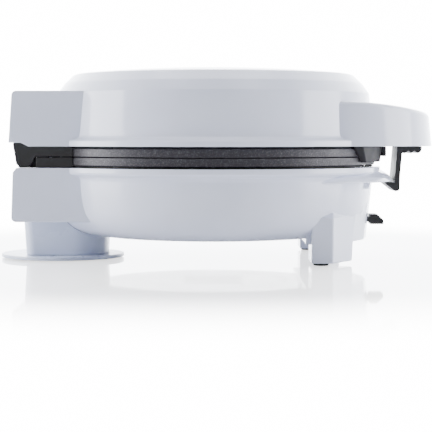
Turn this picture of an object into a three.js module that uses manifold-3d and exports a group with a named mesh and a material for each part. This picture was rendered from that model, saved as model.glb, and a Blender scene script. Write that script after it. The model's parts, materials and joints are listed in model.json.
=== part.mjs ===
// Round clamshell donut maker: a hinged lid over a base, each with a plate of seven ring-shaped
// cups, closed by a latch under a broad visor handle and stood on two front legs and a cord post.
// Millimetres, +Z up, +X towards the handle. The drum axis is the axis of both casings.
import * as THREE from "three";
import { mergeVertices } from "three/addons/utils/BufferGeometryUtils.js";
import Module from "manifold-3d";

const wasm = await Module();
wasm.setup();

// ---------------------------------------------------------------- driving dimensions
const clearance = 0.3; // between pieces that touch
const wall = 2.4; // moulded casing walls
const drumSteps = 32; // sides of the casings
const ringSteps = 32; // sides of the plates' rings, heaters and reflectors
const cupSteps = 10; // sides of the cups
const smallSteps = 10; // sides of pins, screws and feet
const cutPast = 5; // how far a cutting tool runs past the piece it cuts

// Casings, both turned about the drum axis.
const drumRadius = 95;
const rimFlange = 5; // the rim stands out this far past the drum wall
const baseRimZ = 55.2;
const casingGap = 12.1; // between the two rims, filled by the plates
const lidHeight = 46.3; // rim to the crown's middle
const crownRise = 4; // of the lid's top over its edge
const bowlFloorZ = 14;

// Rear blocks, which carry the hinge.
const blockHalfWidth = 58.7;
const blockRound = 1.5; // of the side edges
const blockCornerRound = 2.6; // of the corners in the side view
const blockInset = 35; // how far the blocks run on inside the drums
const baseBlockFloorZ = 24.6;
const baseBlockFootReach = 7.1; // behind the hinge
const baseBlockHeadReach = 6;
const baseBlockChamfer = [2, 2.6]; // along X and Z, for the lid's swing
const lidBlockHeight = 31.3;
const lidBlockFootReach = 8.7; // behind the hinge
const lidBlockHeadReach = 6.2;
const scoopFront = 3; // ahead of the hinge: the lid block's underside is scooped up from here back
const scoopRise = 2.1;

// Hinge.
const hingeBehind = 12; // the drum wall
const hingeOuterY = 56;
const armWidth = 6;
const earWidth = 7.7;
const hingeSideGap = 0.3;
const knuckleRadius = casingGap / 2 - clearance; // it just clears the base's rim
const hingePinRadius = 2;
const armLugHeight = 10.7;
const hingeScrewAhead = 15; // of the hinge
const armUndersideRise = 0.8; // above the parting plane
const padTopDrop = 0.35; // the bracket's pad, below the parting plane

// Plates.
const plateOverhang = 1.6; // past the drum wall
const partingGap = 0.4;
const trimThickness = 0.6;
const trimInset = 1; // from the plate's edge
const trimWidth = 2.6;
const plateFieldThickness = 2.2;
const cupPitch = 57; // from the middle cup to each of the six around it
const cupCount = 6;
const cupRadius = 26.4;
const cupPinRadius = 8; // the core that makes the donut's hole
const cupDepth = 13;
const cupWall = 2;
const plateBossRadius = 3.6;
const plateScrewRadius = 1.7;
const plateScrewHeadRadius = 3.2;

// Heaters and reflectors, set out downwards from the lower plate's cups.
const heaterTube = 4.4;
const heaterGapAngle = 0.22; // radians each side of the terminals
const reflectorInset = 8; // from the drum wall
const reflectorThickness = 0.9;
const reflectorDrop = 7.6; // cup bottoms to the reflector's floor
const reflectorLip = 3;
const thermostatRadius = 8;
const fuseRadius = 2.1;
const fuseLength = 19;

// Handle: a visor turned about an axis of its own, in front of the drum axis.
const handleReach = 36; // past the drum wall
const handleRadius = 64.6;
const handleWall = 2.4;
const handleLean = 0.098; // of its wall, inwards as it rises
const handleTopRise = 25.9; // over the lid's rim, before it slopes down towards the front
const handleSlopeStart = -35; // from the drum wall
const handleSlope = 0.00142; // its top falls by this times the square of the distance
const coverThickness = 2;
const coverRecess = 2.3; // above the handle's lower edge
const coverWindowHalfWidth = 14.5;
const coverWindowSetback = 4.8; // behind the latch's pivot
const handleScrewReach = 12; // past the drum wall
const handleScrewY = 38;
const handleBossRadius = 4;

// Latch, hung under the handle.
const latchHalfWidth = 13;
const latchPivotAhead = 3.8; // of the lip's tip
const latchPivotRise = 2.3; // above the lid's rim, inside the handle
const latchBarrelRadius = 2.5;
const latchPinRadius = 1.2;
const latchEarWidth = 3;
const latchSpringHalfWidth = 4;
const latchFingerLength = 12.8;
const latchFingerDrop = 0.2; // its top, below the lid's rim

// Guard in front of the plates.
const guardDrop = 9.2; // below the lid's rim
const guardThickness = [3.4, 4.9]; // at its bottom and top
const guardHalfWidths = [48, 56]; // at its bottom and top
const guardLipHalfWidth = 18;

// Base's front: lip for the latch, chin that holds the switch, two legs.
const lipReach = 12.6; // past the drum wall
const lipRadius = 81.1;
const lipDrop = 8.7; // its underside, below the base's rim
const chinBottomZ = 12.3;
const chinFrontReach = 0.2; // past the drum wall
const chinDraft = 3.8; // over its height
const chinFlatHalfWidth = 8;
const chinRearX = 52;
const chinCornerX = 84; // at its top
const chinHalfWidth = 63;
const legOuterY = [66, 70, 62]; // at the bottom, the shoulder and the top
const legCornerX = 67; // where the outer face turns towards the front
const legInnerY = [42, 38, 38];
const legRearX = [55, 55, 56];
const legFrontX = [79.5, 81.2, 79];
const legFrontY = [46.5, 42.5, 42.5];
const legBottomZ = 1.7;
const legShoulderZ = 27.6;
const legTopZ = 32;
const footRadius = 4.4;
const footX = 61;
const footY = 56.5;

// Cord post and its disc.
const postTopReach = [-21.4, 28.5]; // from the disc's middle
const postBottomReach = [-19.9, 27.6];
const postHalfWidth = 23;
const postRearRound = 6;
const postFrontRound = 19;
const discBehind = 4; // the drum wall's foot, ahead of its rear
const discRadius = 36.8;
const discTopZ = 2.8;
const discUndersideZ = 1.3;
const discRimZ = 0.7;
const padRadius = 5;
const padPitch = 27;
const discScrewPitch = 13;
const discScrewLength = 17;
const discScrewHeadHeight = 0.9; // flat, to stay off the surface below
const glandBehind = 9; // the disc's middle
const glandY = 38;
const glandBore = 3.4;
const glandNeck = 5;
const glandFlange = 7;

// Power switch.
const leverHalfWidth = 6;
const leverTravel = 16;
const leverReach = 9.2; // past the chin's face
const leverBottomZ = 20.7;
const leverTopZ = 26.8;
const leverTongue = [22.2, 25.2]; // Z
const switchBodyLength = 17.6;
const switchBodySetback = 7.6; // behind the chin's face

// Indicator lenses on the lid.
const lensRadius = 3.2;
const lensX = 60;
const lensY = 7.5;

// Service cover under the bowl.
const serviceRadius = 44;

// ---------------------------------------------------------------- sizes that follow
const rimRadius = drumRadius + rimFlange;
const lidRimZ = baseRimZ + casingGap;
const lidTopZ = lidRimZ + lidHeight;
const partingZ = baseRimZ + casingGap / 2;
const innerRadius = drumRadius - wall;
const plateFaceZ = partingZ - partingGap / 2;
const trimTopZ = baseRimZ + clearance + trimThickness;
const plateBottomZ = trimTopZ + clearance;
const cupBottomZ = plateFaceZ - cupDepth - cupWall;
const reflectorZ = cupBottomZ - reflectorDrop;
const plateRadius = drumRadius + plateOverhang;
const trimRadii = [plateRadius - trimInset - trimWidth, plateRadius - trimInset];
const reflectorRadius = drumRadius - reflectorInset;
const guardBottomZ = lidRimZ - guardDrop;
const guardRadii = guardThickness.map((thickness) => plateRadius + thickness);
const blockFrontX = blockInset - drumRadius;
const hingeX = -drumRadius - hingeBehind;
const baseBlockFootX = hingeX - baseBlockFootReach;
const baseBlockHeadX = hingeX - baseBlockHeadReach;
const lidBlockFootX = hingeX - lidBlockFootReach;
const lidBlockHeadX = hingeX - lidBlockHeadReach;
const lidBlockTopZ = lidRimZ + lidBlockHeight;
const hingeScrewX = hingeX + hingeScrewAhead;
const scoopFrontX = hingeX + scoopFront;
const armLugTopZ = lidRimZ + armLugHeight;
const handleCentreX = drumRadius + handleReach - handleRadius;
const handleScrewX = drumRadius + handleScrewReach;
const lipTipX = drumRadius + lipReach;
const lipCentreX = lipTipX - lipRadius;
const lipBottomZ = baseRimZ - lipDrop;
const chinFrontX = drumRadius + chinFrontReach;
const latchPivotX = lipTipX + latchPivotAhead;
const latchPivotZ = lidRimZ + latchPivotRise;
const latchFingerTopZ = lidRimZ - latchFingerDrop;
const latchFingerReach = latchPivotX + latchFingerLength;
const coverWindowX = latchPivotX - coverWindowSetback;
const discCentreX = discBehind - drumRadius;
const postTopX = postTopReach.map((reach) => discCentreX + reach);
const postBottomX = postBottomReach.map((reach) => discCentreX + reach);
const glandX = discCentreX - glandBehind;
const bossPitch = cupPitch / Math.sqrt(3); // the middle of the gap between three cups
const handleReachX = handleCentreX + handleRadius;
const discReachX = discCentreX - discRadius;
const leverRestY = -leverTravel / 2;

// ---------------------------------------------------------------- solids
// A closed geometry as a solid: its corners are snapped and merged, and its faces turned outwards.
function solid(geometry) {
  const bare = new THREE.BufferGeometry();
  const snapped = Array.from(geometry.getAttribute("position").array, (v) => Math.round(v * 1e4) / 1e4);
  bare.setAttribute("position", new THREE.Float32BufferAttribute(snapped, 3));
  bare.setIndex(geometry.index);
  const merged = mergeVertices(bare, 1e-3);
  const corners = merged.index.array;
  const triangles = [];
  for (let i = 0; i < corners.length; i += 3) {
    const [a, b, c] = corners.slice(i, i + 3);
    if (a !== b && b !== c && c !== a) triangles.push(a, b, c);
  }
  const vertProperties = merged.attributes.position.array;
  const made = meshSolid(vertProperties, triangles);
  return made.volume() > 0 ? made : meshSolid(vertProperties, triangles.reverse());
}

function meshSolid(vertProperties, triangles) {
  const triVerts = new Uint32Array(triangles);
  return new wasm.Manifold(new wasm.Mesh({ numProp: 3, vertProperties, triVerts }));
}

function geometryOf(body) {
  const { vertProperties, triVerts } = body.getMesh();
  const geometry = new THREE.BufferGeometry();
  geometry.setAttribute("position", new THREE.Float32BufferAttribute(vertProperties, 3));
  geometry.setIndex(new THREE.Uint32BufferAttribute(triVerts, 1));
  const flat = geometry.toNonIndexed();
  flat.computeVertexNormals();
  return flat;
}

const union = (...bodies) => bodies.reduce((all, body) => all.add(body));
const cut = (body, ...tools) => tools.reduce((left, tool) => left.subtract(tool), body);

// A solid of revolution about a vertical axis, from [radius, z] corners.
function turned(profile, { x = 0, y = 0, steps = drumSteps } = {}) {
  const points = profile.map(([radius, z]) => new THREE.Vector2(radius, z));
  if (profile[0][0] > 0) points.push(points[0].clone());
  return solid(new THREE.LatheGeometry(points, steps).rotateX(Math.PI / 2).translate(x, y, 0));
}

// Corners [a, b, radius], with each corner that has a radius turned into an arc.
function rounded(corners, arcSteps = 3) {
  const outline = [];
  corners.forEach(([a, b, radius = 0], i) => {
    const corner = new THREE.Vector2(a, b);
    if (radius === 0) {
      outline.push(corner);
      return;
    }
    const before = new THREE.Vector2(...corners.at(i - 1)).sub(corner).normalize();
    const after = new THREE.Vector2(...corners[(i + 1) % corners.length]).sub(corner).normalize();
    const half = Math.acos(before.dot(after)) / 2;
    const middle = before.clone().add(after).normalize().multiplyScalar(radius / Math.sin(half)).add(corner);
    const start = before.multiplyScalar(radius / Math.tan(half)).add(corner).sub(middle);
    const end = after.multiplyScalar(radius / Math.tan(half)).add(corner).sub(middle);
    const sweep = Math.atan2(start.cross(end), start.dot(end));
    for (let k = 0; k <= arcSteps; k += 1) {
      outline.push(start.clone().rotateAround(new THREE.Vector2(), (sweep * k) / arcSteps).add(middle));
    }
  });
  return outline;
}

// An outline of corners, extruded and rounded at both ends by bevel.
function extruded(corners, depth, bevel) {
  return new THREE.ExtrudeGeometry(new THREE.Shape(rounded(corners)), {
    depth: depth - 2 * bevel,
    steps: 1,
    bevelEnabled: bevel > 0,
    bevelThickness: bevel,
    bevelSize: bevel,
    bevelOffset: -bevel,
    bevelSegments: 2,
  }).translate(0, 0, bevel);
}

// A side outline [x, z] from y0 to y1.
function sidePrism(corners, y0, y1, bevel = 0) {
  return solid(extruded(corners, y1 - y0, bevel).rotateX(Math.PI / 2).translate(0, y1, 0));
}

// A plan outline [x, y] from z0 to z1.
function planPrism(corners, z0, z1, bevel = 0) {
  return solid(extruded(corners, z1 - z0, bevel).translate(0, 0, z0));
}

// A front outline [y, z] from x0 to x1.
function frontPrism(corners, x0, x1, bevel = 0) {
  const [yAxis, zAxis, xAxis] = [[0, 1, 0], [0, 0, 1], [1, 0, 0]].map((v) => new THREE.Vector3(...v));
  const turn = new THREE.Matrix4().makeBasis(yAxis, zAxis, xAxis);
  return solid(extruded(corners, x1 - x0, bevel).applyMatrix4(turn).translate(x0, 0, 0));
}

function box(x0, x1, y0, y1, z0, z1) {
  const geometry = new THREE.BoxGeometry(x1 - x0, y1 - y0, z1 - z0);
  return solid(geometry.translate((x0 + x1) / 2, (y0 + y1) / 2, (z0 + z1) / 2));
}

function rodZ(radius, x, y, z0, z1, steps = smallSteps) {
  const geometry = new THREE.CylinderGeometry(radius, radius, z1 - z0, steps).rotateX(Math.PI / 2);
  return solid(geometry.translate(x, y, (z0 + z1) / 2));
}

function rodY(radius, x, z, y0, y1, steps = smallSteps) {
  const geometry = new THREE.CylinderGeometry(radius, radius, y1 - y0, steps);
  return solid(geometry.translate(x, (y0 + y1) / 2, z));
}

// A solid between two plan outlines with as many corners: a lower one at z0 and an upper one at z1.
function loft(lower, upper, z0, z1) {
  const count = lower.length;
  const positions = [...lower.flatMap((p) => [p.x, p.y, z0]), ...upper.flatMap((p) => [p.x, p.y, z1])];
  const index = [];
  for (const [a, b, c] of THREE.ShapeUtils.triangulateShape(lower, [])) {
    index.push(a, c, b, a + count, b + count, c + count);
  }
  for (let i = 0; i < count; i += 1) {
    const next = (i + 1) % count;
    index.push(i, next, next + count, i, next + count, i + count);
  }
  const geometry = new THREE.BufferGeometry();
  geometry.setAttribute("position", new THREE.Float32BufferAttribute(positions, 3));
  geometry.setIndex(index);
  return solid(geometry);
}

// The same body turned upside down about the parting plane.
function mirroredUp(body) {
  const geometry = geometryOf(body);
  return solid(geometry.scale(1, 1, -1).translate(0, 0, 2 * partingZ));
}

const mirroredAcross = (body) => solid(geometryOf(body).scale(1, -1, 1));

// A [radius, z] path moved sideways, to its left when distance is positive.
function offsetPath(path, distance) {
  const points = path.map(([radius, z]) => new THREE.Vector2(radius, z));
  return points.map((point, i) => {
    const into = point.clone().sub(points[Math.max(i - 1, 0)]).normalize();
    const out = points[Math.min(i + 1, points.length - 1)].clone().sub(point).normalize();
    const along = into.clone().add(out).normalize();
    const stretch = Math.max(Math.abs(along.dot(i === 0 ? out : into)), 0.5);
    return [Math.max(point.x - (along.y * distance) / stretch, 0), point.y + (along.x * distance) / stretch];
  });
}

// ---------------------------------------------------------------- the assembly
const finishes = {
  casing: { color: 0xeef0f2, roughness: 0.22, metalness: 0 },
  post: { color: 0xd9dde3, roughness: 0.3, metalness: 0 },
  hinge: { color: 0x2b2a2e, roughness: 0.6, metalness: 0 },
  plate: { color: 0x4b4a4c, roughness: 0.45, metalness: 0.4 },
  guard: { color: 0x3a393c, roughness: 0.3, metalness: 0 },
  seal: { color: 0x101012, roughness: 0.8, metalness: 0 },
  rubber: { color: 0x1c1c1e, roughness: 0.9, metalness: 0 },
  steel: { color: 0xb9bbbe, roughness: 0.3, metalness: 1 },
  heater: { color: 0x7d7a72, roughness: 0.5, metalness: 0.9 },
  phenolic: { color: 0x5a3f2c, roughness: 0.6, metalness: 0 },
  copper: { color: 0xb87445, roughness: 0.35, metalness: 1 },
  redLens: { color: 0xc8281e, roughness: 0.15, metalness: 0 },
  greenLens: { color: 0x2c9a46, roughness: 0.15, metalness: 0 },
  glass: { color: 0xf1d8c8, roughness: 0.1, metalness: 0 },
};

const maker = new THREE.Group();
maker.position.x = -(handleReachX + discReachX) / 2; // the origin is under the middle of the length

function addPart(name, body, finish, x = 0, y = 0, z = 0) {
  const mesh = new THREE.Mesh(geometryOf(body), new THREE.MeshStandardMaterial(finishes[finish]));
  mesh.name = name;
  mesh.position.set(x, y, z);
  maker.add(mesh);
}

const sides = [
  ["left", -1],
  ["right", 1],
];

// ---------------------------------------------------------------- lid casing
const lidWall = [
  [drumRadius, lidRimZ + 8.5],
  ...[[1.5, 16.2], [2.3, 14.2], [6, 9.6], [9.9, 6], [11.2, 4.7], [12.8, crownRise]].map(
    ([inset, drop]) => [drumRadius - inset, lidTopZ - drop],
  ),
  ...[0.7, 0.4, 0].map((share) => [(drumRadius - 12.8) * share, lidTopZ - crownRise * share ** 2]),
];
const lidSkirt = [
  [rimRadius, lidRimZ],
  [rimRadius, lidRimZ + 3.1],
  [drumRadius + 2, lidRimZ + 4.3],
  [drumRadius + 0.3, lidRimZ + 6],
];
const lidDrum = turned([[0, lidRimZ], ...lidSkirt, ...lidWall]);
const lidDrumInside = turned([
  [0, lidRimZ - cutPast],
  [innerRadius, lidRimZ - cutPast],
  ...offsetPath(lidWall, wall),
]);

function lidBlock(inset) {
  const corners = [
    [blockFrontX, lidRimZ - cutPast],
    [lidBlockFootX + inset, lidRimZ - cutPast],
    [lidBlockHeadX + inset, lidBlockTopZ - inset, inset > 0 ? 0 : blockCornerRound],
    [blockFrontX, lidBlockTopZ - inset],
  ];
  const half = blockHalfWidth - inset;
  return sidePrism(corners, -half, half, inset > 0 ? 0 : blockRound);
}

// What is cut from under the lid block: a scoop that clears the base block as the lid swings.
const lidBlockUnderside = sidePrism(
  [
    [blockFrontX + 1, lidRimZ],
    [scoopFrontX, lidRimZ],
    [scoopFrontX - 2 * scoopRise, lidRimZ + scoopRise],
    [lidBlockFootX - cutPast, lidRimZ + scoopRise],
    [lidBlockFootX - cutPast, lidRimZ - 2 * cutPast],
    [blockFrontX + 1, lidRimZ - 2 * cutPast],
  ],
  -blockHalfWidth - cutPast,
  blockHalfWidth + cutPast,
);

const handleSlopeX = drumRadius + handleSlopeStart;
const handleTopZ = (x) => lidRimZ + handleTopRise - handleSlope * Math.max(x - handleSlopeX, 0) ** 2;

// The handle: a round wall under a top that slopes down towards the front, its edge rounded over.
function handleBody(inset, lowZ) {
  const edge = [[0, 4], [0.8, 1.3], [2.8, 0]]; // how far in and how far down each step of the edge is
  const steps = edge.map(([further, drop]) => {
    const radius = handleRadius - inset - further;
    const highZ = lidTopZ;
    const round = turned(
      [[0, lowZ], [radius, lowZ], [radius - handleLean * (highZ - lowZ), highZ], [0, highZ]],
      { x: handleCentreX },
    );
    const stations = [72, 63, 54, 45, 36, 24, 12, 0].map((ahead) => handleSlopeX + ahead);
    const slope = sidePrism(
      [
        [handleCentreX - handleRadius - 1, lowZ - 1],
        [stations[0], lowZ - 1],
        ...stations.map((x) => [x, handleTopZ(x) - inset - drop]),
        [handleCentreX - handleRadius - 1, handleTopZ(0) - inset - drop],
      ],
      -handleRadius - 1,
      handleRadius + 1,
    );
    return round.intersect(slope);
  });
  return wasm.Manifold.hull(steps);
}
const handle = handleBody(0, lidRimZ);
const handleInside = handleBody(handleWall, lidRimZ - cutPast);

const handleBossTopZ = lidRimZ + 21;
const handleBossBottomZ = lidRimZ + coverRecess + coverThickness + clearance;
const hingeBossTopZ = lidBlockTopZ - wall / 2;

function lidCasing() {
  const outside = union(lidDrum, lidBlock(0), handle);
  const inside = union(lidDrumInside, cut(union(lidBlock(wall), handleInside), lidDrum));
  let casing = cut(outside, inside, lidBlockUnderside);
  for (const [, side] of sides) {
    const boss = rodZ(handleBossRadius, handleScrewX, side * handleScrewY, handleBossBottomZ, handleBossTopZ);
    const hingeBoss = rodZ(3.5, hingeScrewX, side * hingeScrewY, armLugTopZ + clearance, hingeBossTopZ);
    casing = union(casing, boss, hingeBoss);
    casing = cut(
      casing,
      screwHole(handleScrewX, side * handleScrewY, handleBossBottomZ - 1, handleBossBottomZ + 13),
      screwHole(hingeScrewX, side * hingeScrewY, armLugTopZ, armLugTopZ + 11),
      rodZ(lensRadius + clearance, lensX, side * lensY, lidTopZ - 2 * cutPast, lidTopZ + cutPast, 16),
    );
  }
  return casing;
}

// ---------------------------------------------------------------- screws
const screwRadius = 1.5;
const screwHeadRadius = 3.2;
const screwHeadHeight = 1.8;
const hingeScrewY = hingeOuterY - armWidth / 2 - 0.5;

const screwHole = (x, y, z0, z1) => rodZ(screwRadius + clearance, x, y, z0, z1);

// A slotted pan-head screw, its head's seat at z = 0 and its shank pointing up.
function screw(length, headRadius = screwHeadRadius, shankRadius = screwRadius, headHeight = screwHeadHeight) {
  const head = turned(
    [
      [0, -headHeight],
      [headRadius * 0.7, -headHeight],
      [headRadius, -headHeight * 0.45],
      [headRadius, 0],
      [shankRadius, 0],
      [shankRadius, length - shankRadius],
      [0, length],
    ],
    { steps: 8 },
  );
  const slotHalf = headRadius * 0.55;
  return cut(head, box(-slotHalf, slotHalf, -0.4, 0.4, -headHeight - 1, -headHeight * 0.55));
}

// ---------------------------------------------------------------- base casing
const bowlWall = [
  ...[[29, 0], [19.5, 1.3], [11.5, 4.2], [6.2, 8.4], [2.9, 13.6], [1.2, 19.5], [0.3, 27]].map(
    ([inset, rise]) => [drumRadius - inset, bowlFloorZ + rise],
  ),
  [drumRadius, baseRimZ - 6.7],
];
const bowl = turned([
  [0, bowlFloorZ],
  ...bowlWall,
  [drumRadius + 1.5, baseRimZ - 4.6],
  [drumRadius + 4.3, baseRimZ - 3.7],
  [rimRadius, baseRimZ - 3],
  [rimRadius, baseRimZ],
  [0, baseRimZ],
]);
const bowlInside = turned([
  [0, bowlFloorZ + wall],
  ...offsetPath([[0, bowlFloorZ], ...bowlWall], wall).slice(1),
  [innerRadius, baseRimZ + cutPast],
  [0, baseRimZ + cutPast],
]);

function baseBlock(inset) {
  const [chamferX, chamferZ] = baseBlockChamfer;
  const corners = [
    [blockFrontX, baseBlockFloorZ + inset],
    [baseBlockFootX + inset, baseBlockFloorZ + inset, inset > 0 ? 0 : blockCornerRound],
    [baseBlockHeadX + inset, baseRimZ - chamferZ - inset / 2],
    [baseBlockHeadX + chamferX + inset, baseRimZ - inset],
    [blockFrontX, baseRimZ - inset],
  ];
  const half = blockHalfWidth - inset;
  return sidePrism(corners, -half, half, inset > 0 ? 0 : blockRound);
}

const lip = turned(
  [
    [0, lipBottomZ],
    [lipRadius - 0.4, lipBottomZ],
    [lipRadius, lipBottomZ + 0.6],
    [lipRadius - 1.6, baseRimZ - 5.7],
    [lipRadius - 5.1, baseRimZ - 3.2],
    [lipRadius - 9.1, baseRimZ - 1.2],
    [lipRadius - 12.6, baseRimZ],
    [0, baseRimZ],
  ],
  { x: lipCentreX },
);

// The chin's plan, a chorded arc around the front, which leans back towards its bottom.
function chinPlan(inset, lean) {
  const front = chinFrontX - inset - lean;
  const half = [
    [chinRearX + inset, inset - chinHalfWidth],
    [legCornerX - inset / 2, inset - chinHalfWidth],
    [chinCornerX - inset - lean, inset / 2 - legFrontY[1]],
    [front - 3, inset / 2 - 25],
    [front, -chinFlatHalfWidth],
  ];
  const otherHalf = half.map(([x, y]) => [x, -y]).reverse();
  return rounded([...half, ...otherHalf]);
}

const chin = loft(chinPlan(0, chinDraft), chinPlan(0, 0), chinBottomZ, lipBottomZ + 1);
const chinInside = loft(chinPlan(wall, chinDraft), chinPlan(wall, 0), chinBottomZ + wall, lipBottomZ);

// A leg's plan at its bottom (level 0), its shoulder (level 1) or its top (level 2).
function legPlan(level, inset) {
  const outerY = legOuterY[level] - inset;
  return rounded([
    [legRearX[level] + inset, legInnerY[level] + inset],
    [legFrontX[level] - inset, legInnerY[level] + inset],
    [legFrontX[level] - inset, legFrontY[level] + inset / 4],
    [legCornerX - inset / 2, outerY],
    [legRearX[level] + inset, outerY],
  ]);
}

const leg = union(
  loft(legPlan(0, 0), legPlan(1, 0), legBottomZ, legShoulderZ),
  loft(legPlan(1, 0), legPlan(2, 0), legShoulderZ, legTopZ),
);
const legInside = loft(legPlan(0, wall), legPlan(1, wall), legBottomZ + wall, legShoulderZ - wall);

const leverSlotHalfWidth = leverHalfWidth + leverTravel / 2 + 0.5;
const leverSlot = box(
  chinFrontX - chinDraft - 2 * cutPast,
  chinFrontX + cutPast,
  -leverSlotHalfWidth,
  leverSlotHalfWidth,
  leverTongue[0] - 0.5,
  leverTongue[1] + 0.5,
);

const serviceScrewPitch = 38;
const baseBossBottomZ = 42;

function baseCasing() {
  const outside = union(bowl, baseBlock(0), lip, chin, leg, mirroredAcross(leg));
  const inside = union(bowlInside, baseBlock(wall), chinInside, legInside, mirroredAcross(legInside));
  let casing = cut(outside, inside, leverSlot);
  casing = cut(casing, rodZ(serviceRadius + clearance, 0, 0, 0, bowlFloorZ + cutPast, ringSteps));
  casing = cut(casing, rodZ(glandNeck + clearance, glandX, glandY, 0, baseBlockFloorZ + cutPast));
  for (const [, side] of sides) {
    casing = union(casing, rodZ(3.5, hingeScrewX, side * hingeScrewY, baseBossBottomZ, baseRimZ - wall / 2));
    casing = cut(casing, screwHole(hingeScrewX, side * hingeScrewY, baseBossBottomZ - 1, baseRimZ + 1));
  }
  for (const x of [discCentreX - discScrewPitch, discCentreX + discScrewPitch]) {
    const boss = rodZ(4, x, 0, postFloorTopZ + clearance, baseBlockFloorZ + 8);
    casing = union(casing, cut(boss, bowlInside, baseBlock(wall)));
    casing = cut(casing, screwHole(x, 0, 0, discScrewLength + 2));
  }
  return casing;
}

// ---------------------------------------------------------------- cord post
const postBottomZ = discTopZ + clearance;
const postFloorTopZ = postBottomZ + wall;

function postPlan([x0, x1], inset) {
  const half = postHalfWidth - inset;
  return rounded(
    [
      [x0 + inset, -half, postRearRound],
      [x1 - inset, -half, postFrontRound],
      [x1 - inset, half, postFrontRound],
      [x0 + inset, half, postRearRound],
    ],
    4,
  );
}

function cordPost() {
  const topZ = baseBlockFloorZ + 2;
  const outside = loft(postPlan(postBottomX, 0), postPlan(postTopX, 0), postBottomZ, topZ);
  const room = loft(postPlan(postBottomX, wall), postPlan(postTopX, wall), postBottomZ + wall, topZ + 1);
  const seat = solid(geometryOf(union(bowl, baseBlock(0))).translate(0, 0, -clearance));
  let post = cut(outside, room, seat);
  for (const x of [discCentreX - discScrewPitch, discCentreX + discScrewPitch]) {
    post = cut(post, screwHole(x, 0, 0, topZ));
  }
  return post;
}

function cordDisc() {
  const disc = turned(
    [
      [0, discUndersideZ],
      [discRadius - 2.2, discUndersideZ],
      [discRadius - 1.9, discRimZ],
      [discRadius - 0.3, discRimZ],
      [discRadius, discRimZ + 0.3],
      [discRadius, discTopZ - 0.4],
      [discRadius - 0.4, discTopZ],
      [0, discTopZ],
    ],
    { x: discCentreX },
  );
  const holes = [-discScrewPitch, discScrewPitch].map((dx) => screwHole(discCentreX + dx, 0, 0, 9));
  return cut(disc, ...holes);
}

function cordGland() {
  const bottomZ = baseBlockFloorZ - clearance - 2.4;
  const shape = [
    [glandBore, bottomZ],
    [glandFlange - 1, bottomZ],
    [glandFlange, bottomZ + 1],
    [glandFlange, baseBlockFloorZ - clearance],
    [glandNeck, baseBlockFloorZ - clearance],
    [glandNeck, baseBlockFloorZ + wall + 1.5],
    [glandBore, baseBlockFloorZ + wall + 1.5],
  ];
  return turned(shape, { x: glandX, y: glandY, steps: 16 });
}

// ---------------------------------------------------------------- plates and heating
const cupCentres = [[0, 0]];
for (let i = 0; i < cupCount; i += 1) {
  const angle = (2 * Math.PI * i) / cupCount;
  cupCentres.push([cupPitch * Math.cos(angle), cupPitch * Math.sin(angle)]);
}
const plateScrewPlaces = [30, 150, 270].map((degrees) => {
  const angle = THREE.MathUtils.degToRad(degrees);
  return [bossPitch * Math.cos(angle), bossPitch * Math.sin(angle)];
});
const plateBossBottomZ = reflectorZ + reflectorThickness + clearance;

// The lower plate: a rim, a thin field and seven ring cups, each around a core.
function lowerPlate() {
  let plate = turned(
    [
      [0, plateFaceZ - plateFieldThickness],
      [innerRadius - 3, plateFaceZ - plateFieldThickness],
      [innerRadius - 2.6, plateBottomZ],
      [plateRadius - 0.5, plateBottomZ],
      [plateRadius, plateBottomZ + 0.5],
      [plateRadius, plateFaceZ - 0.4],
      [plateRadius - 0.4, plateFaceZ],
      [0, plateFaceZ],
    ],
    { steps: drumSteps },
  );
  for (const [x, y] of cupCentres) {
    const cup = turned(
      [
        [0, cupBottomZ],
        [cupRadius - 6, cupBottomZ],
        [cupRadius + cupWall, cupBottomZ + 7],
        [cupRadius + cupWall, plateFaceZ - 0.5],
        [0, plateFaceZ - 0.5],
      ],
      { x, y, steps: cupSteps },
    );
    plate = union(plate, cup);
  }
  const middle = (cupRadius + cupPinRadius) / 2;
  const half = (cupRadius - cupPinRadius) / 2;
  for (const [x, y] of cupCentres) {
    const arc = [0, 0.25, 0.5, 0.75, 1].map((share) => [
      middle + half * Math.cos(Math.PI * share),
      plateFaceZ - cupDepth * Math.sin(Math.PI * share),
    ]);
    const ring = turned(
      [...arc, [cupPinRadius, plateFaceZ + 1], [cupRadius, plateFaceZ + 1]],
      { x, y, steps: cupSteps },
    );
    plate = cut(plate, ring);
  }
  for (const [x, y] of plateScrewPlaces) {
    plate = union(plate, rodZ(plateBossRadius, x, y, plateBossBottomZ, plateFaceZ - 1));
    plate = cut(plate, rodZ(plateScrewRadius + clearance, x, y, 0, plateFaceZ - 4));
  }
  return plate;
}

// A tubular heating ring under the six outer cups, open where its terminals are.
function lowerHeater() {
  const topZ = cupBottomZ - clearance;
  const half = heaterTube / 2;
  const section = [0, 1, 2, 3, 4, 5].map((i) => {
    const angle = (Math.PI * i) / 3;
    return [cupPitch + half * Math.cos(angle), topZ - half + half * Math.sin(angle)];
  });
  const reach = 2 * cupPitch;
  const width = reach * Math.tan(heaterGapAngle);
  const gap = planPrism([[0, 0], [-reach, width], [-reach, -width]], topZ - 2 * heaterTube, topZ + 1);
  return cut(turned(section, { steps: ringSteps }), gap);
}

function lowerReflector() {
  const dish = turned(
    [
      [0, reflectorZ],
      [reflectorRadius - 4, reflectorZ],
      [reflectorRadius, reflectorZ + reflectorLip],
      [reflectorRadius - 0.6, reflectorZ + reflectorLip + reflectorThickness],
      [reflectorRadius - 4.3, reflectorZ + reflectorThickness],
      [0, reflectorZ + reflectorThickness],
    ],
    { steps: ringSteps },
  );
  const holes = plateScrewPlaces.map(([x, y]) => rodZ(plateScrewRadius + clearance, x, y, 0, partingZ));
  return cut(dish, ...holes);
}

const trimRing = turned(
  [
    [trimRadii[0], baseRimZ + clearance],
    [trimRadii[1], baseRimZ + clearance],
    [trimRadii[1], trimTopZ],
    [trimRadii[0], trimTopZ],
  ],
  { steps: ringSteps },
);

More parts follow.
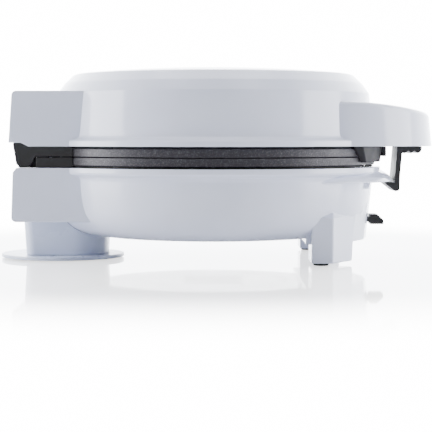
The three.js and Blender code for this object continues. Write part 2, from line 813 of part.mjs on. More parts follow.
function thermostat() {
  const topZ = cupBottomZ - clearance;
  return turned(
    [
      [0, topZ - 5.4],
      [thermostatRadius - 2, topZ - 5.4],
      [thermostatRadius - 2, topZ - 2.6],
      [thermostatRadius, topZ - 2.2],
      [thermostatRadius, topZ - 0.4],
      [thermostatRadius - 0.4, topZ],
      [0, topZ],
    ],
    { steps: 20 },
  );
}

const thermalFuse = rodY(fuseRadius, 24, cupBottomZ - clearance - fuseRadius, -fuseLength / 2, fuseLength / 2);

// ---------------------------------------------------------------- hinge
const armSeatZ = partingZ + armUndersideRise + screwHeadHeight;
const padTopZ = partingZ - padTopDrop;
const bracketSeatZ = padTopZ - screwHeadHeight;

// What the plates need kept clear of the hinge.
const plateRoom = rodZ(plateRadius + 0.6, 0, 0, 0, 2 * partingZ, drumSteps);
// What the lid's drum needs kept clear of the hinge arms.
const drumRoom = [-clearance, clearance].map((rise) =>
  solid(geometryOf(lidDrum).scale(1.005, 1.005, 1).translate(0, 0, rise)),
);

function hingeArm() {
  const arc = [222, 246, 270, 294, 318].map((degrees) => {
    const angle = THREE.MathUtils.degToRad(degrees);
    return [hingeX + knuckleRadius * Math.cos(angle), partingZ + knuckleRadius * Math.sin(angle)];
  });
  const outline = [
    ...arc,
    [hingeX + 6.2, partingZ + armUndersideRise],
    [hingeX + 30, partingZ + armUndersideRise],
    [hingeX + 30, lidRimZ - clearance],
    [hingeX + 24, lidRimZ - clearance],
    [hingeX + 23, armLugTopZ],
    [hingeX + 8, armLugTopZ],
    [hingeX - 1, lidRimZ + scoopRise + 1.5],
    [hingeX - 6.2, lidRimZ + scoopRise - 0.3],
  ];
  const inner = hingeOuterY - armWidth;
  const pinHole = rodY(hingePinRadius + clearance, hingeX, partingZ, inner - 1, hingeOuterY + 1, 16);
  const arm = cut(sidePrism(outline, inner, hingeOuterY), plateRoom, ...drumRoom, pinHole);
  const headSeat = rodZ(screwHeadRadius + clearance, hingeScrewX, hingeScrewY, 0, armSeatZ);
  return cut(arm, headSeat, screwHole(hingeScrewX, hingeScrewY, 0, armLugTopZ + 1));
}

function hingeBracket() {
  const inner = hingeOuterY - armWidth - hingeSideGap - earWidth;
  const earOuter = hingeOuterY - armWidth - hingeSideGap;
  const bottomZ = baseRimZ + clearance;
  const pad = box(hingeX + 7, hingeX + 28, inner, hingeOuterY, bottomZ, padTopZ);
  const ear = union(
    rodY(knuckleRadius, hingeX, partingZ, inner, earOuter, 16),
    box(hingeX - 3, hingeX + 9, inner, earOuter, bottomZ, partingZ - 1.5),
  );
  const pinHole = rodY(hingePinRadius + clearance, hingeX, partingZ, inner - 1, earOuter + 1, 16);
  const headSeat = rodZ(screwHeadRadius + clearance, hingeScrewX, hingeScrewY, bracketSeatZ, 90);
  const hole = screwHole(hingeScrewX, hingeScrewY, 0, 90);
  return cut(union(pad, ear), pinHole, plateRoom, headSeat, hole);
}

const hingePin = rodY(
  hingePinRadius,
  hingeX,
  partingZ,
  hingeOuterY - armWidth - hingeSideGap - earWidth + 0.5,
  hingeOuterY + 0.4,
  16,
);

// ---------------------------------------------------------------- handle cover, latch and guard
function handleCover() {
  const bottomZ = lidRimZ + coverRecess;
  const topZ = bottomZ + coverThickness;
  const radius = handleRadius - handleWall - 1;
  let cover = rodZ(radius, handleCentreX, 0, bottomZ, topZ, drumSteps);
  cover = cut(cover, rodZ(rimRadius + clearance, 0, 0, bottomZ - 1, topZ + 1, drumSteps));
  cover = cut(
    cover,
    box(coverWindowX, handleReachX, -coverWindowHalfWidth, coverWindowHalfWidth, bottomZ - 1, topZ + 1),
  );
  const earInner = latchHalfWidth + 1.8;
  for (const [, side] of sides) {
    const [y0, y1] = [side * earInner, side * (earInner + latchEarWidth)].sort((a, b) => a - b);
    const ear = sidePrism(
      [
        [latchPivotX - 4, topZ],
        [latchPivotX - 3, latchPivotZ - 2.4, 1.8],
        [latchPivotX + 3, latchPivotZ - 2.4, 1.8],
        [latchPivotX + 4, topZ],
      ],
      y0,
      y1,
    );
    cover = union(cover, ear);
    cover = cut(
      cover,
      rodY(latchPinRadius + clearance, latchPivotX, latchPivotZ, y0 - 1, y1 + 1),
      screwHole(handleScrewX, side * handleScrewY, 0, lidTopZ),
    );
  }
  return cover;
}

function latch() {
  const bar = sidePrism(
    [
      [latchPivotX - 1.6, latchPivotZ],
      [lipTipX + 0.5, lipBottomZ + 2.2],
      [lipTipX + 0.5, lipBottomZ - 1],
      [lipTipX - 6.2, lipBottomZ - 0.8],
      [lipTipX + 1, lipBottomZ - 6.4, 1.2],
      [lipTipX + 3.4, lipBottomZ - 5.6, 1],
      [lipTipX + 3.6, lipBottomZ + 2.2],
      [latchPivotX + 1.6, latchPivotZ],
    ],
    -latchHalfWidth,
    latchHalfWidth,
  );
  const ridges = [3, 1.9, 3, 1.9, 3, 2.4].map((drop, i) => [latchPivotX + 2.6 + 1.9 * i, latchFingerTopZ - 0.5 - drop]);
  const finger = sidePrism(
    [
      [latchPivotX, latchFingerTopZ],
      [latchPivotX, latchFingerTopZ - 2.5],
      ...ridges,
      [latchFingerReach - 0.8, latchFingerTopZ - 2.4],
      [latchFingerReach, latchFingerTopZ],
    ],
    -latchHalfWidth,
    latchHalfWidth,
  );
  const barrel = rodY(latchBarrelRadius, latchPivotX, latchPivotZ, -latchHalfWidth, latchHalfWidth);
  const pinHole = rodY(latchPinRadius + clearance, latchPivotX, latchPivotZ, -99, 99);
  const springRoom = rodY(
    latchBarrelRadius + clearance,
    latchPivotX,
    latchPivotZ,
    -latchSpringHalfWidth - clearance,
    latchSpringHalfWidth + clearance,
  );
  return cut(union(bar, finger, barrel), pinHole, springRoom);
}

const latchPinHalfLength = latchHalfWidth + 1.8 + latchEarWidth;
const latchPin = rodY(latchPinRadius, latchPivotX, latchPivotZ, -latchPinHalfLength, latchPinHalfLength);
const latchSpring = cut(
  rodY(latchBarrelRadius - 0.1, latchPivotX, latchPivotZ, -latchSpringHalfWidth, latchSpringHalfWidth),
  rodY(latchPinRadius + clearance, latchPivotX, latchPivotZ, -9, 9),
);

// The guard: a slice of a tapered ring in front of the plates, hung from the lid.
function frontGuard() {
  const topZ = lidRimZ - clearance;
  const ring = turned([
    [plateRadius + 0.5, guardBottomZ],
    [guardRadii[0], guardBottomZ],
    [guardRadii[1], topZ],
    [plateRadius + 0.5, topZ],
  ]);
  const [lower, upper] = guardHalfWidths;
  const slice = frontPrism(
    [
      [-lower, guardBottomZ - 1],
      [lower, guardBottomZ - 1],
      [upper, topZ + 1],
      [-upper, topZ + 1],
    ],
    50,
    120,
  );
  const tab = box(guardRadii[1] - 2, guardRadii[1] + 0.8, -guardLipHalfWidth, guardLipHalfWidth, partingZ, topZ);
  return union(ring.intersect(slice), cut(tab, plateRoom));
}

// ---------------------------------------------------------------- switch, lenses and small parts
const chinFaceX = chinFrontX - (chinDraft * (lipBottomZ + 1 - leverBottomZ)) / (lipBottomZ + 1 - chinBottomZ);

const switchFrontX = chinFaceX - switchBodySetback;
const switchBody = box(switchFrontX - switchBodyLength, switchFrontX, -14, 14, leverTongue[0] - 3.2, leverTongue[1] + 4.8);

// The lever: a wedge outside the chin, a tongue through its slot and a flange behind it.
function switchLever() {
  const rootX = chinFaceX + 1.2;
  const wedge = sidePrism(
    [
      [rootX, leverBottomZ],
      [chinFaceX + leverReach, leverBottomZ, 1],
      [chinFaceX + leverReach, leverBottomZ + 2.6, 1],
      [rootX + 4.2, leverTopZ],
      [rootX, leverTopZ],
    ],
    leverRestY - leverHalfWidth,
    leverRestY + leverHalfWidth,
  );
  const innerX = chinFaceX - wall - 3.6;
  const tongue = box(innerX, rootX + 1, leverRestY - leverHalfWidth, leverRestY + leverHalfWidth, ...leverTongue);
  const flange = box(
    innerX,
    innerX + 1.2,
    leverRestY - leverHalfWidth,
    leverRestY + leverHalfWidth,
    leverTongue[0] - 3,
    leverTongue[1] + 3,
  );
  return union(wedge, tongue, flange);
}

const lensTopZ = lidTopZ - crownRise * (lensX / (drumRadius - 12.8)) ** 2;
const lens = turned(
  [
    [0, -6],
    [lensRadius, -6],
    [lensRadius, -0.2],
    [lensRadius * 0.7, 0.4],
    [0, 0.6],
  ],
  { steps: 16 },
);
const lamp = turned(
  [
    [0, -13],
    [2, -13],
    [2.2, -8.5],
    [1.6, -7],
    [0, -6.4],
  ],
  { steps: smallSteps },
);

function serviceCover() {
  let cover = rodZ(serviceRadius, 0, 0, bowlFloorZ, bowlFloorZ + 2, ringSteps);
  for (let i = -3; i <= 3; i += 1) {
    cover = cut(cover, box(-18, 18, i * 7 - 1.2, i * 7 + 1.2, bowlFloorZ - 1, bowlFloorZ + 3));
  }
  return cover;
}

const foot = turned(
  [
    [0, 0],
    [footRadius - 0.5, 0],
    [footRadius, 0.5],
    [footRadius, legBottomZ - clearance],
    [0, legBottomZ - clearance],
  ],
  { steps: 16 },
);
const pad = turned(
  [
    [0, 0],
    [padRadius - 0.3, 0],
    [padRadius, 0.3],
    [padRadius, discUndersideZ - clearance],
    [0, discUndersideZ - clearance],
  ],
  { steps: 16 },
);

// A lead from the terminal block to the switch, along the bowl's floor.
function lead(points, radius) {
  const route = new THREE.CatmullRomCurve3(points.map((p) => new THREE.Vector3(...p)));
  const section = new THREE.Shape().absarc(0, 0, radius, 0, 2 * Math.PI);
  const options = { steps: 12, curveSegments: 3, bevelEnabled: false, extrudePath: route };
  return solid(new THREE.ExtrudeGeometry(section, options));
}

const leadRoute = [
  [hingeX + 13.3, 20, 34],
  [hingeX + 47, 24, 26],
  [0, 20, 24],
  [switchFrontX - switchBodyLength - 16, 6, 24],
  [switchFrontX - switchBodyLength - 0.8, 0, 24],
];

// ---------------------------------------------------------------- what the assembly holds
addPart("base_shell", baseCasing(), "casing");
addPart("service_cover", serviceCover(), "casing");
addPart("cord_post", cordPost(), "post");
addPart("cord_disc", cordDisc(), "post");
addPart("cord_gland", cordGland(), "rubber");
addPart("base_trim_ring", trimRing, "seal");
addPart("lower_plate", lowerPlate(), "plate");
addPart("lower_heater", lowerHeater(), "heater");
addPart("lower_reflector", lowerReflector(), "steel");
addPart("thermostat", thermostat(), "steel");
addPart("thermal_fuse", thermalFuse, "steel");
addPart("terminal_block", box(hingeX + 3, hingeX + 13, 6, 34, 30, 40), "phenolic");
addPart("switch_body", switchBody, "phenolic");
addPart("switch_lever", switchLever(), "hinge");
addPart("switch_lead", lead(leadRoute, 1.4), "copper");

addPart("lid_shell", lidCasing(), "casing");
addPart("lid_trim_ring", mirroredUp(trimRing), "seal");
addPart("upper_plate", mirroredUp(lowerPlate()), "plate");
addPart("upper_heater", mirroredUp(lowerHeater()), "heater");
addPart("upper_reflector", mirroredUp(lowerReflector()), "steel");
addPart("handle_cover", handleCover(), "casing");
addPart("front_guard", frontGuard(), "guard");
addPart("latch", latch(), "hinge");
addPart("latch_pin", latchPin, "steel");
addPart("latch_spring", latchSpring, "steel");
addPart("power_lens", lens, "redLens", lensX, -lensY, lensTopZ);
addPart("ready_lens", lens, "greenLens", lensX, lensY, lensTopZ);
addPart("power_lamp", lamp, "glass", lensX, -lensY, lensTopZ);
addPart("ready_lamp", lamp, "glass", lensX, lensY, lensTopZ);

const upright = screw(14);
const hanging = solid(geometryOf(upright).scale(1, 1, -1));
for (const [name, side] of sides) {
  const across = (body) => (side > 0 ? body : mirroredAcross(body));
  addPart(`${name}_hinge_arm`, across(hingeArm()), "hinge");
  addPart(`${name}_hinge_bracket`, across(hingeBracket()), "hinge");
  addPart(`${name}_hinge_pin`, across(hingePin), "steel");
  addPart(`${name}_arm_screw`, screw(24), "steel", hingeScrewX, side * hingeScrewY, armSeatZ - clearance);
  addPart(`${name}_bracket_screw`, hanging, "steel", hingeScrewX, side * hingeScrewY, bracketSeatZ + clearance);
  const coverSeatZ = lidRimZ + coverRecess - clearance;
  addPart(`${name}_handle_screw`, upright, "steel", handleScrewX, side * handleScrewY, coverSeatZ);
  addPart(`${name}_foot`, foot, "rubber", footX, side * footY);
}

const discScrew = screw(discScrewLength, 3, screwRadius, discScrewHeadHeight);
[-1, 1].forEach((side, i) => {
  const x = discCentreX + side * discScrewPitch;
  addPart(`disc_screw_${i + 1}`, discScrew, "steel", x, 0, discUndersideZ - clearance);
});

const plateScrew = screw(9, plateScrewHeadRadius, plateScrewRadius);
const upperPlateScrew = solid(geometryOf(plateScrew).scale(1, 1, -1));
plateScrewPlaces.forEach(([x, y], i) => {
  const seatZ = reflectorZ - clearance;
  addPart(`lower_plate_screw_${i + 1}`, plateScrew, "steel", x, y, seatZ);
  addPart(`upper_plate_screw_${i + 1}`, upperPlateScrew, "steel", x, y, 2 * partingZ - seatZ);
});

[90, 210, 330].forEach((degrees, i) => {
  const angle = THREE.MathUtils.degToRad(degrees);
  const [x, y] = [discCentreX + padPitch * Math.cos(angle), padPitch * Math.sin(angle)];
  addPart(`rear_pad_${i + 1}`, pad, "rubber", x, y);
});

export default maker;
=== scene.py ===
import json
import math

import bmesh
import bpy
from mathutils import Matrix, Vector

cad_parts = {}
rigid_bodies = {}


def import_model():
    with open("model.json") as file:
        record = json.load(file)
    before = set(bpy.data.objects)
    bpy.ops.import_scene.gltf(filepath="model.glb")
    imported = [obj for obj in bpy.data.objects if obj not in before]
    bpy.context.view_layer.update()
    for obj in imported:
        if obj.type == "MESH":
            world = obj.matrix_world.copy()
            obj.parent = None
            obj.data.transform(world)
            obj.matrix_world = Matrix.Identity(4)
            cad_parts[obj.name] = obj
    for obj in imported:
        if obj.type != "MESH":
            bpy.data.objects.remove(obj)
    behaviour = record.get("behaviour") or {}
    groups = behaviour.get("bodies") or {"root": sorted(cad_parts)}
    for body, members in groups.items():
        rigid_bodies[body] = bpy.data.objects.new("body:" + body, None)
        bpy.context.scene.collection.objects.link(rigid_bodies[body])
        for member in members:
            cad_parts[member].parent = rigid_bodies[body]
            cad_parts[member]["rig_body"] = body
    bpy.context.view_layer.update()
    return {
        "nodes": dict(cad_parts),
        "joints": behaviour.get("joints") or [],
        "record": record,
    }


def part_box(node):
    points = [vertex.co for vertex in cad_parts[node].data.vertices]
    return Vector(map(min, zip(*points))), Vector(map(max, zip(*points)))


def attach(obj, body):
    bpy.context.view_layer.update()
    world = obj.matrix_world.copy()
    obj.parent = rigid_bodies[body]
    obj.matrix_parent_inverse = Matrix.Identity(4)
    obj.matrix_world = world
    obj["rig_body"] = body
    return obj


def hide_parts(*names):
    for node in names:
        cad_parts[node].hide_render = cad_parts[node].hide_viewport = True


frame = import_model()

# %% [markdown]
# A small machine for baking seven ring doughnuts at once. A round lid is hinged on a round base,
# and each carries a cast plate with seven ring-shaped cups. A visor-shaped handle with a latch
# under it closes the machine, which stands on two front legs and on a post that the mains cord
# winds around. The measured model is loaded first. Every piece below is built in its place in
# millimetres from the drum's axis, because that is how the casing was designed, and one function
# at the end of each step turns it into metres in the shared frame.

MM = 0.001
SIDES = 176  # sides of a full turn


def edge_of(node, side, direction):
    """Where a node's box ends, in millimetres: side 0 is its lowest end and 1 its highest."""
    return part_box(node)[side]["xyz".index(direction)] / MM


axis_x = (edge_of("lower_plate", 0, "x") + edge_of("lower_plate", 1, "x")) / 2
rim = edge_of("lid_shell", 1, "y")
drum = rim - 5  # the rim flares out by 5 mm
fitting_gap = 0.3
base_rim = edge_of("base_trim_ring", 0, "z") - fitting_gap
lid_rim = edge_of("lid_trim_ring", 1, "z") + fitting_gap
lid_top = edge_of("lid_shell", 1, "z")
parting = (base_rim + lid_rim) / 2
wall = 2.4  # of the casings


def joint_place(name):
    """A hinge's place, in millimetres from the drum's axis."""
    place = next(joint for joint in frame["joints"] if joint["name"] == name)["pos_m"]
    return place[0] / MM - axis_x, place[2] / MM


print(f"drum radius {drum:.1f} mm, rims at {base_rim:.1f} and {lid_rim:.1f} mm, top at {lid_top:.1f} mm")

# %% [markdown]
# Most casings here are turned or moulded shapes that a designer draws as a section. A section
# could be drawn as a curve and given a Screw modifier. Plain lists of corners are used instead,
# because each number stays readable: a corner is two millimetre values and, where the mould has
# a radius, that radius.

# %% Outlines with rounded corners, and smooth curves through points
def eased(corners, closed=False, steps=4):
    """Outline points from corners (a, b) or (a, b, radius)."""
    points = []
    for i, corner in enumerate(corners):
        here = Vector(corner[:2])
        if len(corner) < 3 or (not closed and i in (0, len(corners) - 1)):
            points.append(here)
            continue
        radius = corner[2]
        before = (Vector(corners[i - 1][:2]) - here).normalized()
        after = (Vector(corners[(i + 1) % len(corners)][:2]) - here).normalized()
        half = before.angle(after) / 2
        middle = here + (before + after).normalized() * radius / math.sin(half)
        start = here + before * radius / math.tan(half) - middle
        end = here + after * radius / math.tan(half) - middle
        first = math.atan2(start.y, start.x)
        sweep = (math.atan2(end.y, end.x) - first + math.pi) % (2 * math.pi) - math.pi
        for k in range(steps + 1):
            angle = first + sweep * k / steps
            points.append(middle + radius * Vector((math.cos(angle), math.sin(angle))))
    return points


def flowing(points, steps=5):
    """A smooth curve that passes through every point."""
    path = [Vector(p) for p in points]
    made = [path[0]]
    for i in range(len(path) - 1):
        before, start, end = path[max(i - 1, 0)], path[i], path[i + 1]
        after = path[min(i + 2, len(path) - 1)]
        for k in range(1, steps + 1):
            t = k / steps
            bend = (2 * before - 5 * start + 4 * end - after) * t * t
            twist = (3 * start - before - 3 * end + after) * t**3
            made.append(0.5 * (2 * start + (end - before) * t + bend + twist))
    return made


# %% [markdown]
# Three ways of making a solid cover the whole machine. A section spun about an axis gives the
# drums, plates and screws. An outline pushed through its thickness gives blocks and levers. Two
# outlines bridged together give the tapered legs and the cord post, as the mould's draft does.

# %% Solids: turned, pushed out and bridged
def closed_up(bm):
    bmesh.ops.remove_doubles(bm, verts=bm.verts, dist=0.001)
    bmesh.ops.recalc_face_normals(bm, faces=bm.faces)
    return bm


def turned(section, x=0, y=0, steps=None):
    """A section of (radius, z) spun about an upright axis at x, y."""
    bm = bmesh.new()
    verts = [bm.verts.new((point[0], 0, point[1])) for point in section]
    edges = [bm.edges.new(pair) for pair in zip(verts, verts[1:])]
    if section[0][0] > 0:
        edges.append(bm.edges.new((verts[-1], verts[0])))
    bmesh.ops.spin(bm, geom=verts + edges, cent=(0, 0, 0), axis=(0, 0, 1), angle=2 * math.pi,
                   steps=steps or SIDES, use_merge=True)
    bmesh.ops.translate(bm, verts=bm.verts, vec=(x, y, 0))
    return closed_up(bm)


def rod(radius, low, high, x=0, y=0, steps=32):
    """A plain upright rod, mostly used as a drill."""
    return turned([(0, low), (radius, low), (radius, high), (0, high)], x, y, steps)


def seen_from_side(x, z, y):
    return Vector((x, y, z))


def seen_from_above(x, y, z):
    return Vector((x, y, z))


def seen_from_front(y, z, x):
    return Vector((x, y, z))


def pushed(outline, low, high, drawn=seen_from_side):
    """An outline pushed from low to high, square to the view that it was drawn in."""
    bm = bmesh.new()
    face = bm.faces.new([bm.verts.new(drawn(a, b, low)) for a, b in outline])
    grown = bmesh.ops.extrude_face_region(bm, geom=[face])["geom"]
    moved = [part for part in grown if isinstance(part, bmesh.types.BMVert)]
    bmesh.ops.translate(bm, verts=moved, vec=drawn(0, 0, high) - drawn(0, 0, low))
    return closed_up(bm)


def bridged(lower, upper, low, high):
    """A solid between two plan outlines that have as many corners."""
    bm = bmesh.new()
    edges = []
    for outline, z in ((lower, low), (upper, high)):
        verts = [bm.verts.new((x, y, z)) for x, y in outline]
        edges += [bm.edges.new((verts[i - 1], verts[i])) for i in range(len(verts))]
        bm.faces.new(verts)
    bmesh.ops.bridge_loops(bm, edges=edges)
    return closed_up(bm)


def softened(bm, radius, sharper_than=35, segments=3, only=None):
    """Rounds the edges that are sharper than an angle in degrees, or only some of them."""
    edges = [edge for edge in bm.edges
             if len(edge.link_faces) == 2 and edge.calc_face_angle(0) > math.radians(sharper_than)
             and (only is None or only(edge))]
    bmesh.ops.bevel(bm, geom=edges, offset=radius, offset_type="OFFSET", affect="EDGES",
                    segments=segments, profile=0.5, clamp_overlap=True, material=-1)
    return bm


def along_y(bm, x, z):
    """Lays an upright solid down along the hinge's direction, its middle line at x, z."""
    lay = Matrix.Translation((x, 0, z)) @ Matrix.Rotation(-math.pi / 2, 4, "X")
    bmesh.ops.transform(bm, matrix=lay, verts=bm.verts)
    return bm


def flipped(bm):
    """The same piece for the lid: turned upside down about the parting plane."""
    flip = Matrix.Translation((0, 0, 2 * parting)) @ Matrix.Scale(-1, 4, (0, 0, 1))
    bmesh.ops.transform(bm, matrix=flip, verts=bm.verts)
    return closed_up(bm)


def other_side(bm):
    """The mirror image across the machine's middle plane."""
    mirror = bm.copy()
    bmesh.ops.transform(mirror, matrix=Matrix.Scale(-1, 4, (0, 1, 0)), verts=mirror.verts)
    return closed_up(mirror)


# %% [markdown]
# The casings are several simple solids melted into one, with rooms cut out of them. Sculpting
# one mesh by hand would be possible, but Boolean modifiers keep every solid readable, and the
# exact rooms of the real mould come out as they are. The tools are put on a bench, the modifiers
# are worked out once, and the bench is cleared, so that no helper stays in the scene.

# %% Joining and cutting
def combined(body, tools, operation):
    bench = []
    for bm in [body, *tools]:
        mesh = bpy.data.meshes.new("bench")
        bm.to_mesh(mesh)
        bench.append(bpy.data.objects.new("bench", mesh))
        bpy.context.scene.collection.objects.link(bench[-1])
    for tool in bench[1:]:
        step = bench[0].modifiers.new("step", "BOOLEAN")
        step.operation, step.solver, step.object = operation, "MANIFOLD", tool
    worked = bench[0].evaluated_get(bpy.context.evaluated_depsgraph_get())
    result = bmesh.new()
    result.from_mesh(worked.data)
    for thing in bench:
        mesh = thing.data
        bpy.data.objects.remove(thing)
        bpy.data.meshes.remove(mesh)
    bmesh.ops.remove_doubles(result, verts=result.verts, dist=0.001)
    return result


def joined(body, *others):
    return combined(body, others, "UNION")


def without(body, *tools):
    return combined(body, tools, "DIFFERENCE")


# %% [markdown]
# Colours are written the way a paint maker would give them, as sRGB hex codes, and turned into
# the linear values that the renderer works in. One small function adds a node to a material. Its
# inputs are either plain values or another node's output, which it then links.

# %% Colours and nodes
def colour(code):
    parts = [int(code[i : i + 2], 16) / 255 for i in (1, 3, 5)]
    return [c / 12.92 if c <= 0.04045 else ((c + 0.055) / 1.055) ** 2.4 for c in parts] + [1]


def add_node(tree, kind, inputs=None, **settings):
    node = tree.nodes.new("ShaderNode" + kind)
    for name, value in settings.items():
        setattr(node, name, value)
    for name, value in (inputs or {}).items():
        if isinstance(value, bpy.types.NodeSocket):
            tree.links.new(value, node.inputs[name])
        else:
            node.inputs[name].default_value = value
    return node


def new_finish(name, **shader):
    """An empty material with one shader, whose constants are set on the shader itself."""
    material = bpy.data.materials.new(name)
    material.use_nodes = True
    tree = material.node_tree
    tree.nodes.clear()
    surface = add_node(tree, "BsdfPrincipled", {k.replace("_", " "): v for k, v in shader.items()})
    add_node(tree, "OutputMaterial", {"Surface": surface.outputs["BSDF"]})
    return material, tree, surface


# %% [markdown]
# A moulded surface is never perfectly even. It has a grain from the mould, which is polished,
# satin or spark-eroded, a slow change of gloss where hands and packing have touched it, and a
# faint change of shade where the melt flowed. One recipe covers every moulded piece, with the
# size of the grain given in millimetres, so that it stays at its real scale.

# %% The moulded recipe
def mottled(tree, where, size, dark, light, spread=0.2, detail=3):
    """A soft change between two colours in patches of about size millimetres."""
    noise = add_node(tree, "TexNoise", {"Vector": where, "Scale": 1 / (size * MM), "Detail": detail})
    ramp = add_node(tree, "ValToRGB", {"Fac": noise.outputs["Fac"]})
    for stop, (place, code) in zip(ramp.color_ramp.elements, ((0.5 - spread, dark), (0.5 + spread, light))):
        stop.position, stop.color = place, colour(code)
    return ramp.outputs["Color"]


def uneven(tree, where, size, low, high):
    """A number that wanders between low and high in patches of about size millimetres."""
    noise = add_node(tree, "TexNoise", {"Vector": where, "Scale": 1 / (size * MM), "Detail": 4})
    limits = {"Value": noise.outputs["Fac"], "From Min": 0.3, "From Max": 0.7, "To Min": low, "To Max": high}
    return add_node(tree, "MapRange", limits).outputs["Result"]


def grain(tree, where, size, depth, detail=2):
    """Bumps of about size millimetres across and depth millimetres high."""
    noise = add_node(tree, "TexNoise", {"Vector": where, "Scale": 1 / (size * MM), "Detail": detail})
    height = {"Height": noise.outputs["Fac"], "Strength": 1, "Distance": depth * MM}
    return add_node(tree, "Bump", height).outputs["Normal"]


def moulded(name, dark, light, gloss, grain_size, grain_depth, ior):
    """gloss is the lowest and highest roughness."""
    material, tree, surface = new_finish(name, IOR=ior)
    where = add_node(tree, "TexCoord").outputs["Object"]
    tree.links.new(mottled(tree, where, 45, dark, light), surface.inputs["Base Color"])
    tree.links.new(uneven(tree, where, 18, *gloss), surface.inputs["Roughness"])
    tree.links.new(grain(tree, where, grain_size, grain_depth), surface.inputs["Normal"])
    return material


# %% [markdown]
# The casings are glossy white ABS, the plastic of most kitchen appliances, injection moulded in
# a polished tool. Its index of refraction is about 1.54. The polish leaves a very faint orange
# peel of about 2 mm, which is what breaks up the reflections of a lamp.

# %% Glossy white ABS
finishes = {}
finishes["glossy_white_casing"] = moulded(
    "glossy white ABS", "#d6dbee", "#dde2f4", (0.1, 0.15), 2.2, 0.003, 1.54)

# %% [markdown]
# The cord post and its disc are polypropylene, which the mould leaves satin. Their white is painted darker and
# bluer than the casing's, as painted shade for their place under the bowl. Polypropylene refracts at about
# 1.49.

# %% Satin polypropylene, painted darker and bluer as shade
finishes["satin_white_post"] = moulded(
    "satin polypropylene with painted shade", "#c9d1e6", "#d0d8ec", (0.24, 0.32), 0.9, 0.004, 1.49)

# %% [markdown]
# Hinges, latch and switch lever are glass-filled nylon, which takes the heat near the plates.
# Its mould is spark-eroded, so the surface has a fine, matte grain of about 0.3 mm.

# %% Matte black nylon
finishes["matte_black_fittings"] = moulded(
    "black glass-filled nylon", "#0d0d0f", "#141316", (0.4, 0.54), 0.35, 0.012, 1.53)

# %% [markdown]
# The guard in front of the plates is dark grey ABS from a matte tool. The seals are silicone, which stays soft
# at baking heat, and their black is also painted shade for the gap between each casing and its plate. The feet
# and pads are moulded nitrile rubber.

# %% Guard, seals and rubber
finishes["dark_grey_guard"] = moulded("dark grey ABS", "#19181c", "#201f23", (0.55, 0.65), 0.8, 0.004, 1.4)
finishes["black_seal"] = moulded("black silicone and painted gap shade", "#0e0e10", "#151518", (0.55, 0.7), 1.2, 0.01, 1.41)
finishes["black_rubber"] = moulded(
    "black nitrile rubber", "#151516", "#1f1f20", (0.68, 0.85), 0.5, 0.02, 1.52)
print(f"{len(finishes)} moulded finishes")

# %% [markdown]
# The plates are pressure-cast aluminium with a sprayed and baked non-stick coat (PTFE, with an
# index of refraction of about 1.35). The coat is dark grey with fine lighter specks, and the
# casting under it gives a soft, slightly pebbled surface. The specks are the high peaks of a
# noise, picked out with a steep colour ramp.

# %% Non-stick coated plates
coat, tree, surface = new_finish("non-stick coat on cast aluminium", IOR=1.35, Metallic=0.25)
where = add_node(tree, "TexCoord").outputs["Object"]
specks = add_node(tree, "TexNoise", {"Vector": where, "Scale": 1 / (0.7 * MM), "Detail": 2})
ramp = add_node(tree, "ValToRGB", {"Fac": specks.outputs["Fac"]})
for stop, (place, code) in zip(ramp.color_ramp.elements, ((0.5, "#343338"), (0.8, "#5c5b60"))):
    stop.position, stop.color = place, colour(code)
tree.links.new(ramp.outputs["Color"], surface.inputs["Base Color"])
tree.links.new(uneven(tree, where, 9, 0.36, 0.5), surface.inputs["Roughness"])
tree.links.new(grain(tree, where, 1.1, 0.02, 4), surface.inputs["Normal"])
finishes["coated_cast_aluminium"] = coat


# %% [markdown]
# Metals: zinc-plated steel for screws, the latch pin and the spring, black-oxide steel for the
# hinge pins, an oxidised steel sheath on the heating tubes, with the brown and blue tints of
# heat, and bright aluminised steel sheet for the reflectors. A metal's colour is its reflection,
# so the index of refraction stays as it is.

# %% Metals
def metal(name, dark, light, patch, gloss, grain_size, grain_depth):
    material, tree, surface = new_finish(name, Metallic=1)
    where = add_node(tree, "TexCoord").outputs["Object"]
    tree.links.new(mottled(tree, where, patch, dark, light), surface.inputs["Base Color"])
    tree.links.new(uneven(tree, where, 6, *gloss), surface.inputs["Roughness"])
    tree.links.new(grain(tree, where, grain_size, grain_depth), surface.inputs["Normal"])
    return material


finishes["bright_steel"] = metal("zinc-plated steel", "#b4b8bd", "#cfd2d5", 2, (0.22, 0.36), 0.4, 0.006)
finishes["blackened_steel"] = metal("black-oxide steel", "#141416", "#1d1d20", 2, (0.4, 0.5), 0.4, 0.004)
finishes["heater_sheath"] = metal(
    "oxidised heater sheath", "#5a5148", "#6d7078", 12, (0.4, 0.55), 0.6, 0.01)
finishes["bright_reflector"] = metal(
    "aluminised steel sheet", "#c9ccce", "#dcdee0", 25, (0.16, 0.28), 3, 0.01)

# %% [markdown]
# Small electrical pieces: brown phenolic resin for the terminal block and the switch, which is
# speckled with its filler, a silicone-rubber lead, clear tinted polycarbonate lenses (index of
# refraction 1.585) and the glass of the two neon lamps under them (1.52).

# %% Electrical finishes
finishes["phenolic_block"] = moulded(
    "brown phenolic resin", "#38251b", "#4c3426", (0.38, 0.52), 0.6, 0.01, 1.6)
finishes["copper_lead"] = moulded("brown silicone lead", "#7c4526", "#8e5330", (0.45, 0.6), 0.4, 0.01, 1.41)


def tinted(name, dark, light, clear, ior):
    material, tree, surface = new_finish(name, IOR=ior, Transmission_Weight=clear)
    where = add_node(tree, "TexCoord").outputs["Object"]
    tree.links.new(mottled(tree, where, 4, dark, light), surface.inputs["Base Color"])
    tree.links.new(uneven(tree, where, 3, 0.06, 0.14), surface.inputs["Roughness"])
    tree.links.new(grain(tree, where, 1.5, 0.004), surface.inputs["Normal"])
    return material


finishes["red_lens"] = tinted("red polycarbonate", "#b3160f", "#c92016", 0.6, 1.585)
finishes["green_lens"] = tinted("green polycarbonate", "#14843a", "#1f9a49", 0.6, 1.585)
finishes["lamp_glass"] = tinted("lamp glass", "#f0ded2", "#f7ebe2", 0.9, 1.52)
print(f"{len(finishes)} finishes in all")

